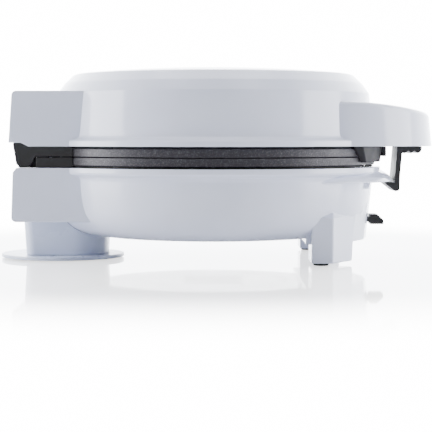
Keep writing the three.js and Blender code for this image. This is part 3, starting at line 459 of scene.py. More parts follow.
# %% [markdown]
# Every piece is handed over in the same way. Doubled corners are merged, the faces are turned
# outwards, and the mesh is brought into metres in the shared frame. Edges sharper than 30 degrees
# stay crisp and the rest is shaded smooth, with normals weighted by face size so that flat faces
# next to small roundings stay flat. The piece then takes the body, the finish and the place of
# the measured solids that it stands for.

# %% Handing a piece over
slot_of = {part["node"]: part["material_slot"] for part in frame["record"]["subparts"]}
to_room = Matrix.Scale(MM, 4) @ Matrix.Translation((axis_x, 0, 0))


def hand_over(bm, name, *nodes, crisp=30):
    bmesh.ops.remove_doubles(bm, verts=bm.verts, dist=0.002)
    bmesh.ops.recalc_face_normals(bm, faces=bm.faces)
    bmesh.ops.transform(bm, matrix=to_room, verts=bm.verts)
    mesh = bpy.data.meshes.new(name)
    bm.to_mesh(mesh)
    bm.free()
    mesh.shade_smooth()
    mesh.set_sharp_from_angle(angle=math.radians(crisp))
    mesh.materials.append(finishes[slot_of[nodes[0]]])
    piece = bpy.data.objects.new(name, mesh)
    bpy.context.scene.collection.objects.link(piece)
    piece.modifiers.new("even shading", "WEIGHTED_NORMAL").keep_sharp = True
    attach(piece, frame["nodes"][nodes[0]]["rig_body"])
    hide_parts(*nodes)
    print(f"{name}: {len(mesh.polygons)} faces for {', '.join(nodes)}")
    return piece


# %% [markdown]
# The lid is one moulding made of three simple solids. The drum is turned: a rim that flares out
# over the seal, an almost upright wall, a sloping shoulder band between two crisp creases, and a
# crown that rises only 4 mm. The creases have small radii, because a moulded crease catches the
# light as a thin bright line. Behind the drum is a block that carries the hinge arms.

# %% Lid drum and rear block
crown_edge = drum - 12.2


def crown(radius):
    return lid_top - 4 * (radius / crown_edge) ** 2


lid_skirt = [(0, lid_rim), (rim, lid_rim, 0.35), (rim, lid_rim + 3.2, 0.9), (drum + 0.6, lid_rim + 5.0, 2.5)]
lid_shoulder = [(drum, lid_rim + 9, 3), (drum - 1.62, lid_top - 15.4, 1.3), (drum - 5.8, lid_top - 9.6, 8),
                (drum - 11.2, lid_top - 4.45, 0.9), (crown_edge - 1, crown(crown_edge - 1))]
lid_crown = [Vector((radius, crown(radius))) for radius in [crown_edge * k / 10 for k in range(9, -1, -1)]]
lid_drum = turned(eased(lid_skirt + lid_shoulder) + lid_crown)

block_rear = (-115.2, -113.2)  # at the lid block's foot and top
block_half = 58.7
lid_block = pushed(eased([(-60, lid_rim), (-104, lid_rim, 0.5), (-108.2, lid_rim + 2.1, 0.5),
                          (block_rear[0], lid_rim + 2.1, 0.5), (block_rear[1], lid_rim + 31.3, 2.6),
                          (-60, lid_rim + 31.3)], closed=True), -block_half, block_half)
softened(lid_block, 1.4, 50)
print(f"lid drum {len(lid_drum.faces)} faces, block {len(lid_block.faces)} faces")

# %% [markdown]
# The handle is a visor. Its wall is an arc about a centre of its own, 66 mm in front of the
# drum's axis, so that it reaches out 36 mm at the front and runs into the drum at the sides. Its
# top slopes down towards the front, so a plain turned section can't give it. It is woven from
# columns of corners instead, each going up the wall, over the rounded edge and in to the middle.

# %% Handle
handle_x, handle_radius, edge_round = 66.4, 64.6, 2.8
handle_lean = 0.098  # of its wall, inwards as it rises
wall_top_reach = 61  # where the wall ends, before it rounds over


def handle_top(x):
    return lid_rim + 25.9 - 0.00142 * max(x - 60, 0) ** 2


def handle_column(angle, inset, low):
    reach = math.cos(angle)
    wall_high = handle_top(handle_x + wall_top_reach * reach) - inset - edge_round
    heights = [low + (wall_high - low) * share for share in (0, 0.25, 0.5, 0.75, 1)]
    column = [(handle_radius - inset - handle_lean * (z - lid_rim), z) for z in heights]
    brow = column[-1][0] - edge_round
    for k in range(1, 7):
        lift = math.pi / 2 * k / 6
        radius = brow + edge_round * math.cos(lift)
        fall = edge_round * (1 - math.sin(lift))
        column.append((radius, handle_top(handle_x + radius * reach) - inset - fall))
    for share in (0.85, 0.7, 0.5, 0.3, 0.12):
        column.append((brow * share, handle_top(handle_x + brow * share * reach) - inset))
    return column


def handle_body(inset, low):
    bm = bmesh.new()
    angles = [2 * math.pi * i / SIDES for i in range(SIDES)]
    columns = [[bm.verts.new((handle_x + radius * math.cos(angle), radius * math.sin(angle), z))
                for radius, z in handle_column(angle, inset, low)] for angle in angles]
    for i, column in enumerate(columns):
        before = columns[i - 1]
        for k in range(len(column) - 1):
            bm.faces.new((before[k], column[k], column[k + 1], before[k + 1]))
    bm.faces.new([column[0] for column in columns])
    bm.faces.new([column[-1] for column in reversed(columns)])
    return closed_up(bm)


handle = softened(handle_body(0, lid_rim), 0.4, 50,
                  only=lambda edge: max(v.co.z for v in edge.verts) < lid_rim + 0.1)
print(f"handle {len(handle.faces)} faces")

# %% [markdown]
# The lid's rooms are cut last: the drum's, the block's and the handle's, each a wall thickness
# inside the outer shape. The drum's wall stays whole between them, as it does in the mould.

# %% Rooms inside, and the finished lid casing
handle_screws = [(107, -38), (107, 38)]
handle_room = handle_body(wall, 62)
block_room = pushed([(-60, 62), (-113, 62), (-110.8, 96.2), (-60, 96.2)], -56.3, 56.3)
drum_room = turned([(0, 62), (92.6, 62), (92.6, 76), (91.1, 97), (87.2, 102.6), (82.6, 106.4), (60, 109.2),
                    (30, 110.7), (0, 111.2)])
lens_places = [(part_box(node)[0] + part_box(node)[1]) / 2 / MM for node in ("power_lens", "ready_lens")]
lens_holes = [rod(3.5, 95, 118, place.x - axis_x, place.y, 48) for place in lens_places]
bosses = [rod(4, 71.9, 88.3, *place) for place in handle_screws]
lid = joined(lid_drum, lid_block, handle)
lid = without(lid, drum_room, without(block_room, lid_drum), without(handle_room, lid_drum), *lens_holes)
hand_over(joined(lid, *bosses), "lid_casing", "lid_shell")

# %% [markdown]
# The base is a bowl with a rim that matches the lid's, a rear block for the hinge brackets, a
# lip in front that the latch hooks under, and a chin that holds the switch. The chin's front is
# broken into facets like a cut stone, and its outer facets run down into the two legs.

# %% Bowl, rear block and lip
bowl_side = flowing([(66, 14), (75.5, 15.3), (83.5, 18.2), (88.8, 22.4), (92.1, 27.6), (93.8, 33.5), (94.7, 41),
                     (95, 48.4)])
bowl_rim = eased([(95, 48.4), (95.6, 50.2, 0.8), (99.4, 51.6, 0.8), (rim, 52.6, 0.5), (rim, base_rim, 0.35),
                   (0, base_rim)])
bowl = turned([Vector((0, 14))] + bowl_side + bowl_rim[1:])
bowl_room = turned([(0, 16.4), (66, 16.4), (74.9, 17.6), (82.3, 20.3), (87, 24), (89.9, 28.6), (91.4, 34),
                    (92.3, 41.2), (92.6, 48.5), (92.6, 60), (0, 60)])
base_block = pushed(eased([(-60, 24.6), (-114.1, 24.6, 2.6), (-113, 52.6, 0.8), (-111, base_rim, 0.6),
                           (-60, base_rim)], closed=True), -block_half, block_half)
softened(base_block, 1.4, 50)
base_block_room = pushed([(-60, 27), (-111.7, 27), (-110.6, 51.4), (-108.6, 52.8), (-60, 52.8)], -56.3, 56.3)
lip_curve = flowing([(81.0, 47.4), (79.5, 49.5), (76, 52), (72, 54), (68.5, base_rim)])
lip_underside = eased([(0, 46.5), (80.9, 46.5, 0.4), lip_curve[0]])
lip = turned(lip_underside + lip_curve[1:] + [Vector((0, base_rim))], x=26.5)
print(f"bowl {len(bowl.faces)} faces, lip {len(lip.faces)} faces")


# %% [markdown]
# The chin is bridged between a plan at its foot and a wider one at its top, and so is each leg.
# The taper is the draft that lets the part leave its mould. A leg stands proud of the bowl and
# ends in a sloping shoulder, which is a second bridge, up to a plan inside the bowl. Only the
# corners that the hand feels are rounded, with small radii, so that the facets keep their edges.

# %% Chin, legs and the finished base casing
def mirrored_outline(half):
    return half + [(corner[0], -corner[1], *corner[2:]) for corner in reversed(half)]


def chin_plan(front, inset=0):
    half = [(52 + inset, inset - 63), (67 - inset / 2, inset - 63, 1.6),
            (front - 11.2 - inset, inset / 2 - 42.5, 2.5), (front - 3 - inset, inset / 2 - 25, 14),
            (front - inset, -8, 20)]
    return eased(mirrored_outline(half), closed=True)


def leg_plan(rear, front, inner, front_y, outer, inset=0):
    return eased([(rear + inset, inner + inset, 1), (front - inset, inner + inset, 1),
                  (front - inset, front_y, 1.2), (67 - inset / 2, outer - inset, 1.6),
                  (rear + inset, outer - inset, 1)], closed=True)


chin = bridged(chin_plan(91.4), chin_plan(95.2), 12.3, 47.5)
softened(chin, 0.7, 50, only=lambda edge: max(v.co.z for v in edge.verts) < 12.5)
chin_room = bridged(chin_plan(91.4, wall), chin_plan(95.2, wall), 14.7, 46.5)
leg_foot = (55, 79.5, 42, 46.5, 66)
leg_shoulder = (55, 81.2, 38, 42.5, 70)
leg_top = (56, 79, 38, 42.5, 62)
leg = joined(bridged(leg_plan(*leg_foot), leg_plan(*leg_shoulder), 1.7, 27.6),
             bridged(leg_plan(*leg_shoulder), leg_plan(*leg_top), 27.6, 32))
softened(leg, 0.8, 50, only=lambda edge: max(v.co.z for v in edge.verts) < 2)
leg_room = bridged(leg_plan(*leg_foot, wall), leg_plan(*leg_shoulder, wall), 4.1, 25.2)
gland_place = (-100, 38)
lever_slot = pushed([(81, 21.7), (100, 21.7), (100, 25.7), (81, 25.7)], -14.5, 14.5)
service_hole = rod(44.3, 0, 19, steps=SIDES)
gland_hole = rod(5.3, 10, 30, *gland_place, 48)
base = joined(bowl, base_block, lip, chin, leg, other_side(leg))
base = without(base, bowl_room, base_block_room, chin_room, leg_room, other_side(leg_room),
               lever_slot, service_hole, gland_hole)
hand_over(base, "base_casing", "base_shell")

# %% [markdown]
# Under the bowl is a round service cover with cooling slots. The cord is wound around a post
# with rounded corners, between the block above and a thin disc below. The post's top follows the
# bowl, which is cut from it with the same bowl, lowered by the fitting gap.

# %% Service cover, cord post, disc and gland
cover = turned([(0, 14), (43.6, 14), (44, 14.4), (44, 15.6), (43.6, 16), (0, 16)])
slots = [pushed(eased([(-18, y - 1.2, 1.19), (18, y - 1.2, 1.19), (18, y + 1.2, 1.19),
                       (-18, y + 1.2, 1.19)], closed=True), 13, 17, seen_from_above)
         for y in range(-21, 22, 7)]
hand_over(without(cover, *slots), "service_cover_moulding", "service_cover")


def post_plan(rear, front):
    return eased([(rear, -23, 6), (front, -23, 19), (front, 23, 19), (rear, 23, 6)], closed=True, steps=10)


post = bridged(post_plan(-110.9, -63.4), post_plan(-112.4, -62.5), 3.1, 26.6)
for seat in (bowl, base_block):
    bmesh.ops.translate(seat, verts=seat.verts, vec=(0, 0, -fitting_gap))
hand_over(without(post, bowl, base_block), "cord_post_moulding", "cord_post")

disc_x = -91
disc = turned([(0, 1.3), (34.6, 1.3), (34.9, 0.7), (36.4, 0.7), (36.7, 0.85), (36.8, 1.1), (36.8, 2.3),
               (36.65, 2.65), (36.3, 2.8), (0, 2.8)], x=disc_x)
disc_holes = [rod(1.8, 0, 4, x, 0, 24) for x in (disc_x - 13, disc_x + 13)]
hand_over(without(disc, *disc_holes), "cord_disc_moulding", "cord_disc")
gland = [(3.4, 21.9), (5.7, 21.9), (6.6, 22.2), (7, 23), (7, 24.3), (5, 24.3), (5, 28.5), (4.4, 28.9),
         (3.4, 28.9)]
hand_over(turned(gland, *gland_place, 48), "cord_gland_moulding", "cord_gland")

# %% [markdown]
# Each plate is a rimmed disc with seven ring cups, one in the middle and six around it. A cup is
# half a doughnut: a half-round groove around a core that makes the hole. The groove's brim is
# rounded, because a sharp brim would cut the dough and shed its coating. The plate is joined
# from cup bodies and grooved with one ring-shaped tool for each cup.

# %% Baking plates
def around(pitch, degrees):
    """Places on a circle about the drum's axis."""
    return [(pitch * math.cos(math.radians(a)), pitch * math.sin(math.radians(a))) for a in degrees]


cup_pitch = 57
cup_places = [(0, 0)] + around(cup_pitch, range(0, 360, 60))
screw_places = around(cup_pitch / math.sqrt(3), (30, 150, 270))
face_z = parting - 0.2
cup_sides = 72


def groove(x, y):
    turns = [math.pi * k / 16 for k in range(17)]
    arc = [(17.2 + 9.2 * math.cos(turn), face_z - 0.4 - 12.6 * math.sin(turn)) for turn in turns]
    brim = [(27.1, face_z + 1), (27.1, face_z + 0.01), (26.7, face_z - 0.08)]
    core = [(7.7, face_z - 0.08), (7.3, face_z + 0.01), (7.3, face_z + 1)]
    return turned(brim + arc + core, x, y, cup_sides)


def baking_plate():
    flat = turned(eased([(0, 58.85), (89.6, 58.85), (90, 56.4, 0.3), (96.6, 56.4, 0.5), (96.6, face_z, 0.4),
                         (0, face_z)]))
    cup = eased([(0, 46.05), (21.5, 46.05, 4), (28.4, 53, 4), (28.4, 60.5), (0, 60.5)])
    cups = [turned(cup, x, y, cup_sides) for x, y in cup_places]
    posts = [rod(3.6, 39.7, 60, x, y) for x, y in screw_places]
    holes = [rod(1.9, 35, 57, x, y, 24) for x, y in screw_places]
    return without(joined(flat, *cups, *posts), *[groove(x, y) for x, y in cup_places], *holes)


hand_over(baking_plate(), "lower_baking_plate", "lower_plate", crisp=40)
hand_over(flipped(baking_plate()), "upper_baking_plate", "upper_plate", crisp=40)


# %% [markdown]
# A thin silicone ring lies between each plate and its casing, and its black is partly painted shade for the gap
# there.
# Behind each plate are a tubular heater, bent into an open ring under the outer cups, and a reflector dish. The
# heater is spun from a round section through almost a full turn, which leaves the gap for its terminals.

# %% Seals, heaters and reflectors
def seal():
    return turned([(93, 55.5), (95.45, 55.5), (95.6, 55.65), (95.6, 55.95), (95.45, 56.1), (93, 56.1)])


def heater():
    bm = bmesh.new()
    ring = bmesh.ops.create_circle(bm, segments=16, radius=2.2, cap_ends=True)["verts"]
    stand = (Matrix.Rotation(math.pi + 0.22, 4, "Z") @ Matrix.Translation((cup_pitch, 0, 43.5))
             @ Matrix.Rotation(math.pi / 2, 4, "X"))
    bmesh.ops.transform(bm, matrix=stand, verts=ring)
    bmesh.ops.spin(bm, geom=bm.verts[:] + bm.edges[:] + bm.faces[:], cent=(0, 0, 0), axis=(0, 0, 1),
                   angle=2 * math.pi - 0.44, steps=120, use_merge=False)
    return closed_up(bm)


def reflector():
    dish = turned([(0, 38.45), (82.6, 38.45), (83.6, 38.7), (87, 41.45), (86.4, 42.35), (83, 39.6),
                   (82.4, 39.35), (0, 39.35)])
    return without(dish, *[rod(2, 35, 45, x, y, 24) for x, y in screw_places])


# The silicone rings' black also serves as painted shade in the gap under each plate.
for make, name, lower, upper in ((seal, "silicone_ring", "base_trim_ring", "lid_trim_ring"),
                                 (heater, "heating_tube", "lower_heater", "upper_heater"),
                                 (reflector, "reflector_dish", "lower_reflector", "upper_reflector")):
    hand_over(make(), "lower_" + name, lower)
    hand_over(flipped(make()), "upper_" + name, upper)
thermostat = [(0, 40.35), (5.7, 40.35), (6, 40.65), (6, 43.1), (7.8, 43.2), (8, 43.5), (8, 45.4),
              (7.7, 45.75), (0, 45.75)]
hand_over(turned(thermostat, steps=64), "thermostat_cup", "thermostat")

# %% [markdown]
# The latch is a bar that hangs from a pin under the handle, with a hook that snaps under the
# base's lip and a finger tab whose underside is waved for grip. It is drawn from the side and
# pushed out to its width, as its mould would be, then rounded along its edges.

# %% Latch
pivot_x, pivot_z = joint_place("latch_pivot")
hook = eased([(pivot_x - 1.6, pivot_z), (108.1, 48.7), (108.1, 45.5, 0.4), (101.4, 45.7, 0.3),
              (108.6, 40.1, 1.4), (111, 40.9, 1.2), (111.2, 48.7, 6), (pivot_x + 1.6, pivot_z)], closed=True)
waves = flowing([(111.4, 63.8), (114, 62.9), (115.9, 64.3), (117.8, 62.9), (119.7, 64.3), (121.6, 63.0),
                 (123.4, 63.9), (124.1, 65.5)])
tab = waves + eased([(124.1, 65.5), (124.2, 67.1, 0.6), (pivot_x, 67.1)])[1:]
barrel = turned([(0, -13), (2.2, -13), (2.5, -12.7), (2.5, 12.7), (2.2, 13), (0, 13)], steps=40)
barrel = along_y(barrel, pivot_x, pivot_z)
latch = joined(softened(pushed(hook, -13, 13), 0.45, 50), softened(pushed(tab, -13, 13), 0.45, 50), barrel)
pin_hole = along_y(rod(1.5, -20, 20), pivot_x, pivot_z)
spring_room = along_y(rod(2.9, -4.3, 4.3), pivot_x, pivot_z)
hand_over(without(latch, pin_hole, spring_room), "latch_hook", "latch")

# %% [markdown]
# The latch's spring is wound from wire. Spinning a small circle about the pin while it moves
# along it by a little at each step gives the coil directly.

# %% Latch spring and pins
coil = bmesh.new()
wire = bmesh.ops.create_circle(coil, segments=10, radius=0.3, cap_ends=True)["verts"]
bmesh.ops.translate(coil, verts=wire, vec=(2.05, 0, 0))
bmesh.ops.transform(coil, matrix=Matrix.Translation((pivot_x, -3.6, pivot_z)), verts=wire)
turns = 9
bmesh.ops.spin(coil, geom=coil.verts[:] + coil.edges[:] + coil.faces[:], cent=(pivot_x, -3.6, pivot_z),
               axis=(0, 1, 0), dvec=(0, 7.2 / (24 * turns), 0), angle=2 * math.pi * turns,
               steps=24 * turns, use_merge=False)
hand_over(closed_up(coil), "latch_spring_coil", "latch_spring")


def pin(radius, low, high, x, z):
    ease = radius * 0.2
    section = [(0, low), (radius - ease, low), (radius, low + ease), (radius, high - ease),
               (radius - ease, high), (0, high)]
    return along_y(turned(section, steps=40), x, z)


latch_pin_ends = edge_of("latch_pin", 0, "y"), edge_of("latch_pin", 1, "y")
hand_over(pin(1.2, *latch_pin_ends, pivot_x, pivot_z), "latch_pivot_pin", "latch_pin")
pin_reach = 54.9  # inside the arm's blind hole
for side in ("left", "right"):
    node = f"{side}_hinge_pin"
    low, high = max(edge_of(node, 0, "y"), -pin_reach), min(edge_of(node, 1, "y"), pin_reach)
    hand_over(pin(2, low, high, *joint_place("lid_hinge")), f"{side}_pivot_pin", node)

# %% [markdown]
# The guard is a curved strip that keeps fingers off the hot plates. It is a slice of a ring that
# leans outwards towards its top, with ends cut at a slant. The switch lever is a wedge outside
# the chin, with a tongue that slides in the slot.

# %% Guard and switch lever
ring = turned([(97.1, 58.1), (100, 58.1), (101.5, 67), (97.1, 67)])
slice_tool = pushed([(-48, 57), (48, 57), (56.9, 68), (-56.9, 68)], 50, 120, seen_from_front)
guard = softened(combined(ring, [slice_tool], "INTERSECT"), 0.5, 50)
lip_tab = softened(pushed([(99.6, parting), (102.3, parting), (102.3, 67), (99.6, 67)], -18, 18), 0.5, 50)
hand_over(joined(guard, lip_tab), "plate_guard", "front_guard")

wedge_outline = eased([(93.5, 20.7), (101.5, 20.7, 0.5), (101.5, 23.3, 0.8), (97.7, 26.8, 0.8),
                       (93.5, 26.8)], closed=True)
wedge = softened(pushed(wedge_outline, -14, -2), 0.4, 50)
tongue = pushed([(86.3, 22.2), (94.5, 22.2), (94.5, 25.2), (86.3, 25.2)], -14, -2)
flange = pushed([(86.3, 19.2), (87.5, 19.2), (87.5, 28.2), (86.3, 28.2)], -14, -2)
hand_over(joined(wedge, tongue, flange), "switch_slider", "switch_lever")

# %% [markdown]
# The two indicator lenses are shallow domes in the crown, with a small neon lamp under each.
# Feet and pads are turned rubber discs with a rounded lower edge.

# %% Lenses, lamps, feet and pads
for place, kind in zip(lens_places, ("power", "ready")):
    x, top = place.x - axis_x, edge_of(f"{kind}_lens", 1, "z")
    lifts = [math.pi / 2 * k / 8 for k in range(9)]
    dome = [(3.2 * math.cos(lift), top - 0.75 + 0.75 * math.sin(lift)) for lift in lifts]
    dome[-1] = (0, top)
    lens = turned([(0, top - 6.6), (3.2, top - 6.6)] + dome, x, place.y, 48)
    hand_over(lens, f"{kind}_lens_cap", f"{kind}_lens")
    low = edge_of(f"{kind}_lamp", 0, "z")
    bulb = [(0, low), (2, low), (2.2, low + 0.4), (2.2, low + 4.5), (1.9, low + 5.6), (1.1, low + 6.4),
            (0, low + 6.6)]
    hand_over(turned(bulb, x, place.y, 32), f"{kind}_lamp_bulb", f"{kind}_lamp")


def rubber_disc(node):
    low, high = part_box(node)
    radius, top = (high.x - low.x) / 2 / MM, high.z / MM
    section = [(0, 0), (radius - 0.4, 0), (radius - 0.1, 0.15), (radius, 0.45), (radius, top), (0, top)]
    middle = (low + high) / 2 / MM
    hand_over(turned(section, middle.x - axis_x, middle.y, 48), node + "_moulding", node)


for node in ("left_foot", "right_foot", "rear_pad_1", "rear_pad_2", "rear_pad_3"):
    rubber_disc(node)


# %% [markdown]
# Fourteen slotted pan-head screws hold the machine together. They are cold-headed and thread-
# rolled in reality. One function reads each screw's length and place from its measured box, and
# turns it over where its head is on top.

# %% Screws
def slotted_screw(node, head_down, head_height):
    low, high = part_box(node)
    middle, length = (low + high) / 2 / MM, (high.z - low.z) / MM
    head = (high.x - low.x) / 2 / MM
    shank = 1.7 if "plate" in node else 1.5
    lifts = [math.pi / 2 * k / 6 for k in range(1, 7)]
    dome = [(head * math.sin(lift), head_height * (1 - math.cos(lift) ** 0.8)) for lift in lifts]
    section = [(0, 0)] + dome + [(shank, head_height)]
    pitch = 0.8  # of the thread
    for k in range(int((length - head_height - 2) / pitch)):
        z = head_height + 0.4 + pitch * k
        section += [(shank, z), (shank - 0.3, z + 0.4)]
    section += [(shank - 0.3, length - 1.2), (0, length)]
    reach = head * 0.8
    slot = pushed([(-reach, -0.4), (reach, -0.4), (reach, 0.4), (-reach, 0.4)], -1, head_height * 0.5,
                  seen_from_above)
    bm = without(turned(section, steps=32), slot)
    stand = Matrix.Translation((middle.x - axis_x, middle.y, (low if head_down else high).z / MM))
    if not head_down:
        stand = stand @ Matrix.Rotation(math.pi, 4, "X")
    bmesh.ops.transform(bm, matrix=stand, verts=bm.verts)
    hand_over(bm, node + "_slotted", node)


for side in ("left", "right"):
    slotted_screw(f"{side}_arm_screw", True, 1.8)
    slotted_screw(f"{side}_bracket_screw", False, 1.8)
    slotted_screw(f"{side}_handle_screw", True, 1.8)
for number in (1, 2, 3):
    slotted_screw(f"lower_plate_screw_{number}", True, 1.8)
    slotted_screw(f"upper_plate_screw_{number}", False, 1.8)
for number in (1, 2):
    slotted_screw(f"disc_screw_{number}", True, 0.9)


# %% [markdown]
# Each hinge is an arm on the lid, outside, and a bracket on the base. The arm's knuckle is a
# round that just clears the base, with a straight rear edge, and a lug that a screw holds in the
# lid's block. The pin's hole is blind, so that the pin doesn't show from outside, and a rib on
# the bracket closes the view between the arm and the pad. Both are drawn from the side, and
# whatever would touch the plates or the lid's drum is cut from them with a turned tool.

# %% Hinge arms and brackets
hinge_x, hinge_z = joint_place("lid_hinge")
plate_room = rod(97.2, 40, 90, steps=SIDES)
skirt_low = lid_rim - fitting_gap
skirt_room = turned([(0, skirt_low), (100.5, skirt_low), (100.5, 71), (95.6, 75.6), (95.6, 90), (0, 90)])
knuckle_radius = 5.75
knuckle = [(hinge_x + x, hinge_z + z) for x, z in around(knuckle_radius, range(222, 326, 8))]
arm_outline = eased(knuckle + [(hinge_x + 6.4, hinge_z + 0.35, 1), (-77, hinge_z + 0.35), (-77, 67),
                               (-83, 67), (-84, 78, 1), (-99, 78, 1), (-108, 70.9), (-113.2, 69.1, 0.8)],
                    closed=True)
hinge_screw = (-92, -52.5)
screw_hole = rod(1.8, 30, 90, *hinge_screw)
arm_head_seat = rod(3.5, 50, 63.85, *hinge_screw)
bracket_head_seat = rod(3.5, 59.1, 80, *hinge_screw)
pin_room = along_y(rod(2.03, -55.2, -40, steps=40), hinge_x, hinge_z)


def left_arm():
    arm = softened(pushed(arm_outline, -56, -50), 0.35, 50)
    return without(arm, plate_room, skirt_room, pin_room, screw_hole, arm_head_seat)


def left_bracket():
    pad = softened(pushed([(-100, 55.3), (-79, 55.3), (-79, 61.2), (-100, 61.2)], -56, -42), 0.35, 50)
    ear = turned([(0, -49.7), (5.45, -49.7), (5.75, -49.4), (5.75, -42.3), (5.45, -42), (0, -42)], steps=56)
    ear = along_y(ear, hinge_x, hinge_z)
    foot = softened(pushed([(-111, 55.3), (-98, 55.3), (-98, 60.5), (-111.3, 60.5)], -49.7, -42), 0.35, 50)
    rib = softened(pushed([(-100, 60), (-87.6, 60), (-87.6, 62.9), (-100, 62.9)], -44.5, -42), 0.3, 50)
    return without(joined(pad, ear, foot, rib), plate_room, pin_room, screw_hole, bracket_head_seat)


hand_over(left_arm(), "left_arm_moulding", "left_hinge_arm")
hand_over(other_side(left_arm()), "right_arm_moulding", "right_hinge_arm")
hand_over(left_bracket(), "left_bracket_moulding", "left_hinge_bracket")
hand_over(other_side(left_bracket()), "right_bracket_moulding", "right_hinge_bracket")

# %% [markdown]
# A cover closes the handle from below, a little above its rim. It has a window for the latch,
# with an ear on each side that holds the latch's pin, and it is screwed to two posts.

# %% Handle cover
cover_low, cover_high = lid_rim + 2.3, lid_rim + 4.3
plate_cover = turned(eased([(0, cover_low), (61.2, cover_low, 0.3), (61.2, cover_high, 0.3),
                            (0, cover_high)]), handle_x)
behind = rod(rim + 0.3, 60, 80, steps=SIDES)
window = pushed(eased([(106.6, -14.5, 1), (140, -14.5), (140, 14.5), (106.6, 14.5, 1)], closed=True),
                60, 80, seen_from_above)
plate_cover = without(plate_cover, behind, window)
pin_ear = eased([(pivot_x - 4, cover_high), (pivot_x - 3, pivot_z - 2.4, 1.8),
                 (pivot_x + 3, pivot_z - 2.4, 1.8), (pivot_x + 4, cover_high)], closed=True)
ears = [pushed(pin_ear, -17.8, -14.8), pushed(pin_ear, 14.8, 17.8)]
cover_holes = [rod(1.8, 60, 80, *place) for place in handle_screws]
plate_cover = without(joined(plate_cover, *ears), pin_hole, *cover_holes)
hand_over(plate_cover, "handle_cover_moulding", "handle_cover")

# %% [markdown]
# The electrical pieces have the right shape already. A merged copy of each is given the small
# edge radii that every moulding has, since a perfectly sharp edge never catches the light.

# %% Pieces that only need their edges rounded
def refined(node, radius, name):
    bm = bmesh.new()
    bm.from_mesh(frame["nodes"][node].data)
    bmesh.ops.transform(bm, matrix=to_room.inverted(), verts=bm.verts)
    bmesh.ops.remove_doubles(bm, verts=bm.verts, dist=0.01)
    if radius:
        bmesh.ops.dissolve_limit(bm, angle_limit=math.radians(1), verts=bm.verts, edges=bm.edges)
        softened(bm, radius, 40, 2)
    hand_over(bm, name, node, crisp=40)


refined("terminal_block", 0.6, "terminal_block_moulding")
refined("switch_body", 0.5, "switch_body_moulding")
refined("thermal_fuse", 0.3, "thermal_fuse_body")
refined("switch_lead", 0, "switch_lead_insulation")

for part in frame["record"]["subparts"]:
    mesh = frame["nodes"][part["node"]].data
    mesh.materials.clear()
    mesh.materials.append(finishes[part["material_slot"]])

# %% [markdown]
# The machine stands on a sheet of glossy white acrylic, which mirrors it faintly, as on a
# product table. Acrylic refracts at about 1.49, so it mirrors more and more towards a grazing
# view. The table is lit from below, as such tables are, and more so away from the machine, so
# that the mirror image fades into plain white. Only the camera sees that glow, which keeps the
# machine's underside in shade.

# %% Floor
floor_finish, tree, surface = new_finish("glossy white acrylic", IOR=1.49)
surface.inputs["Base Color"].default_value = colour("#f6f7f9")
where = add_node(tree, "TexCoord").outputs["Object"]
tree.links.new(uneven(tree, where, 60, 0.03, 0.05), surface.inputs["Roughness"])
away = add_node(tree, "VectorMath", {0: where}, operation="LENGTH").outputs["Value"]
fade = {"Value": away, "From Min": 0.2, "From Max": 0.37, "To Min": 0.1, "To Max": 1.0}
plain_share = add_node(tree, "MapRange", fade, interpolation_type="SMOOTHSTEP").outputs["Result"]
seen = add_node(tree, "LightPath").outputs["Is Camera Ray"]
share = add_node(tree, "Math", {0: plain_share, 1: seen}, operation="MULTIPLY").outputs[0]
plain_white = {"Color": (1, 1, 1, 1), "Strength": 16.0}  # bright enough to come out white
lit = add_node(tree, "Emission", plain_white).outputs[0]
blend = add_node(tree, "MixShader", {0: share, 1: surface.outputs[0], 2: lit}).outputs[0]
tree.links.new(blend, next(node for node in tree.nodes if node.type == "OUTPUT_MATERIAL").inputs["Surface"])
sheet = bmesh.new()
bmesh.ops.create_grid(sheet, x_segments=8, y_segments=8, size=6)
floor_mesh = bpy.data.meshes.new("acrylic_sheet")
sheet.to_mesh(floor_mesh)
floor_mesh.materials.append(floor_finish)
floor = bpy.data.objects.new("acrylic_sheet", floor_mesh)
bpy.context.scene.collection.objects.link(floor)

# %% [markdown]
# The light is a white tent. The backdrop behind the machine is the brightest, which keeps the
# floor and the background white, and the side towards the camera is darker and slightly blue, so
# that the faces towards the viewer turn grey and the shape can be read. One softbox on each side
# and one above draw the highlights along the rims and creases.

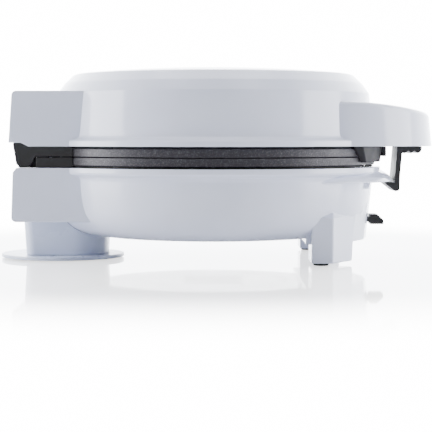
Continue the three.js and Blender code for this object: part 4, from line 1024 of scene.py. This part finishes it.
# %% Studio light
front_light, side_light, back_light = 0.1, 0.6, 1.4
left_power, right_power, top_power = 26, 20, 10
mirrored_back = 12.0  # the backdrop as glossy faces mirror it
world = bpy.data.worlds.new("white tent")
bpy.context.scene.world = world
world.use_nodes = True
tent = world.node_tree
tent.nodes.clear()
direction = add_node(tent, "TexCoord").outputs["Generated"]
deep = add_node(tent, "SeparateXYZ", {"Vector": direction}).outputs["Y"]


def tent_light(front, side, back):
    """Light that rises from the front over the sides to the backdrop."""
    near, far = (add_node(tent, "MapRange", {"Value": deep, "From Min": start, "From Max": end,
                                             "To Min": low, "To Max": high}).outputs["Result"]
                 for start, end, low, high in ((-1.0, 0.0, front, side), (0.0, 0.9, 0.0, back - side)))
    total = add_node(tent, "Math", {0: near, 1: far}, operation="ADD")
    slightly_blue = {"Color": (0.94, 0.96, 1, 1), "Strength": total.outputs[0]}
    return add_node(tent, "Background", slightly_blue).outputs[0]


path = add_node(tent, "LightPath")
soft = tent_light(front_light, side_light, back_light)
bright = tent_light(front_light, side_light, mirrored_back)
plain = add_node(tent, "Background", plain_white).outputs[0]
inside = add_node(tent, "MixShader", {0: path.outputs["Is Diffuse Ray"], 1: bright, 2: soft}).outputs[0]
whole = add_node(tent, "MixShader", {0: path.outputs["Is Camera Ray"], 1: inside, 2: plain}).outputs[0]
add_node(tent, "OutputWorld", {"Surface": whole})


def softbox(name, place, size, power):
    light = bpy.data.lights.new(name, "AREA")
    light.shape, light.size, light.energy = "SQUARE", size, power
    lamp = bpy.data.objects.new(name, light)
    bpy.context.scene.collection.objects.link(lamp)
    lamp.location = place
    lamp.rotation_euler = (Vector((0, 0, 0.06)) - Vector(place)).to_track_quat("-Z", "Y").to_euler()


softbox("left softbox", (-1.2, -0.15, 0.35), 0.8, left_power)
softbox("right softbox", (1.2, -0.15, 0.35), 0.8, right_power)
softbox("top softbox", (0, 0.1, 1.2), 0.9, top_power)

# %% [markdown]
# The camera looks at the machine's side from just above the worktop, from 85 cm away, with a
# long lens, so that the rims stay almost level lines.

# %% Camera
camera = bpy.data.objects.new("camera", bpy.data.cameras.new("camera"))
bpy.context.scene.collection.objects.link(camera)
camera.data.lens, camera.data.sensor_width = 116.7, 36
camera.location = (0, -0.847, 0.0722)
camera.rotation_euler = (math.radians(90 - 3.2), 0, 0)  # looking down by 3.2 degrees
bpy.context.scene.camera = camera
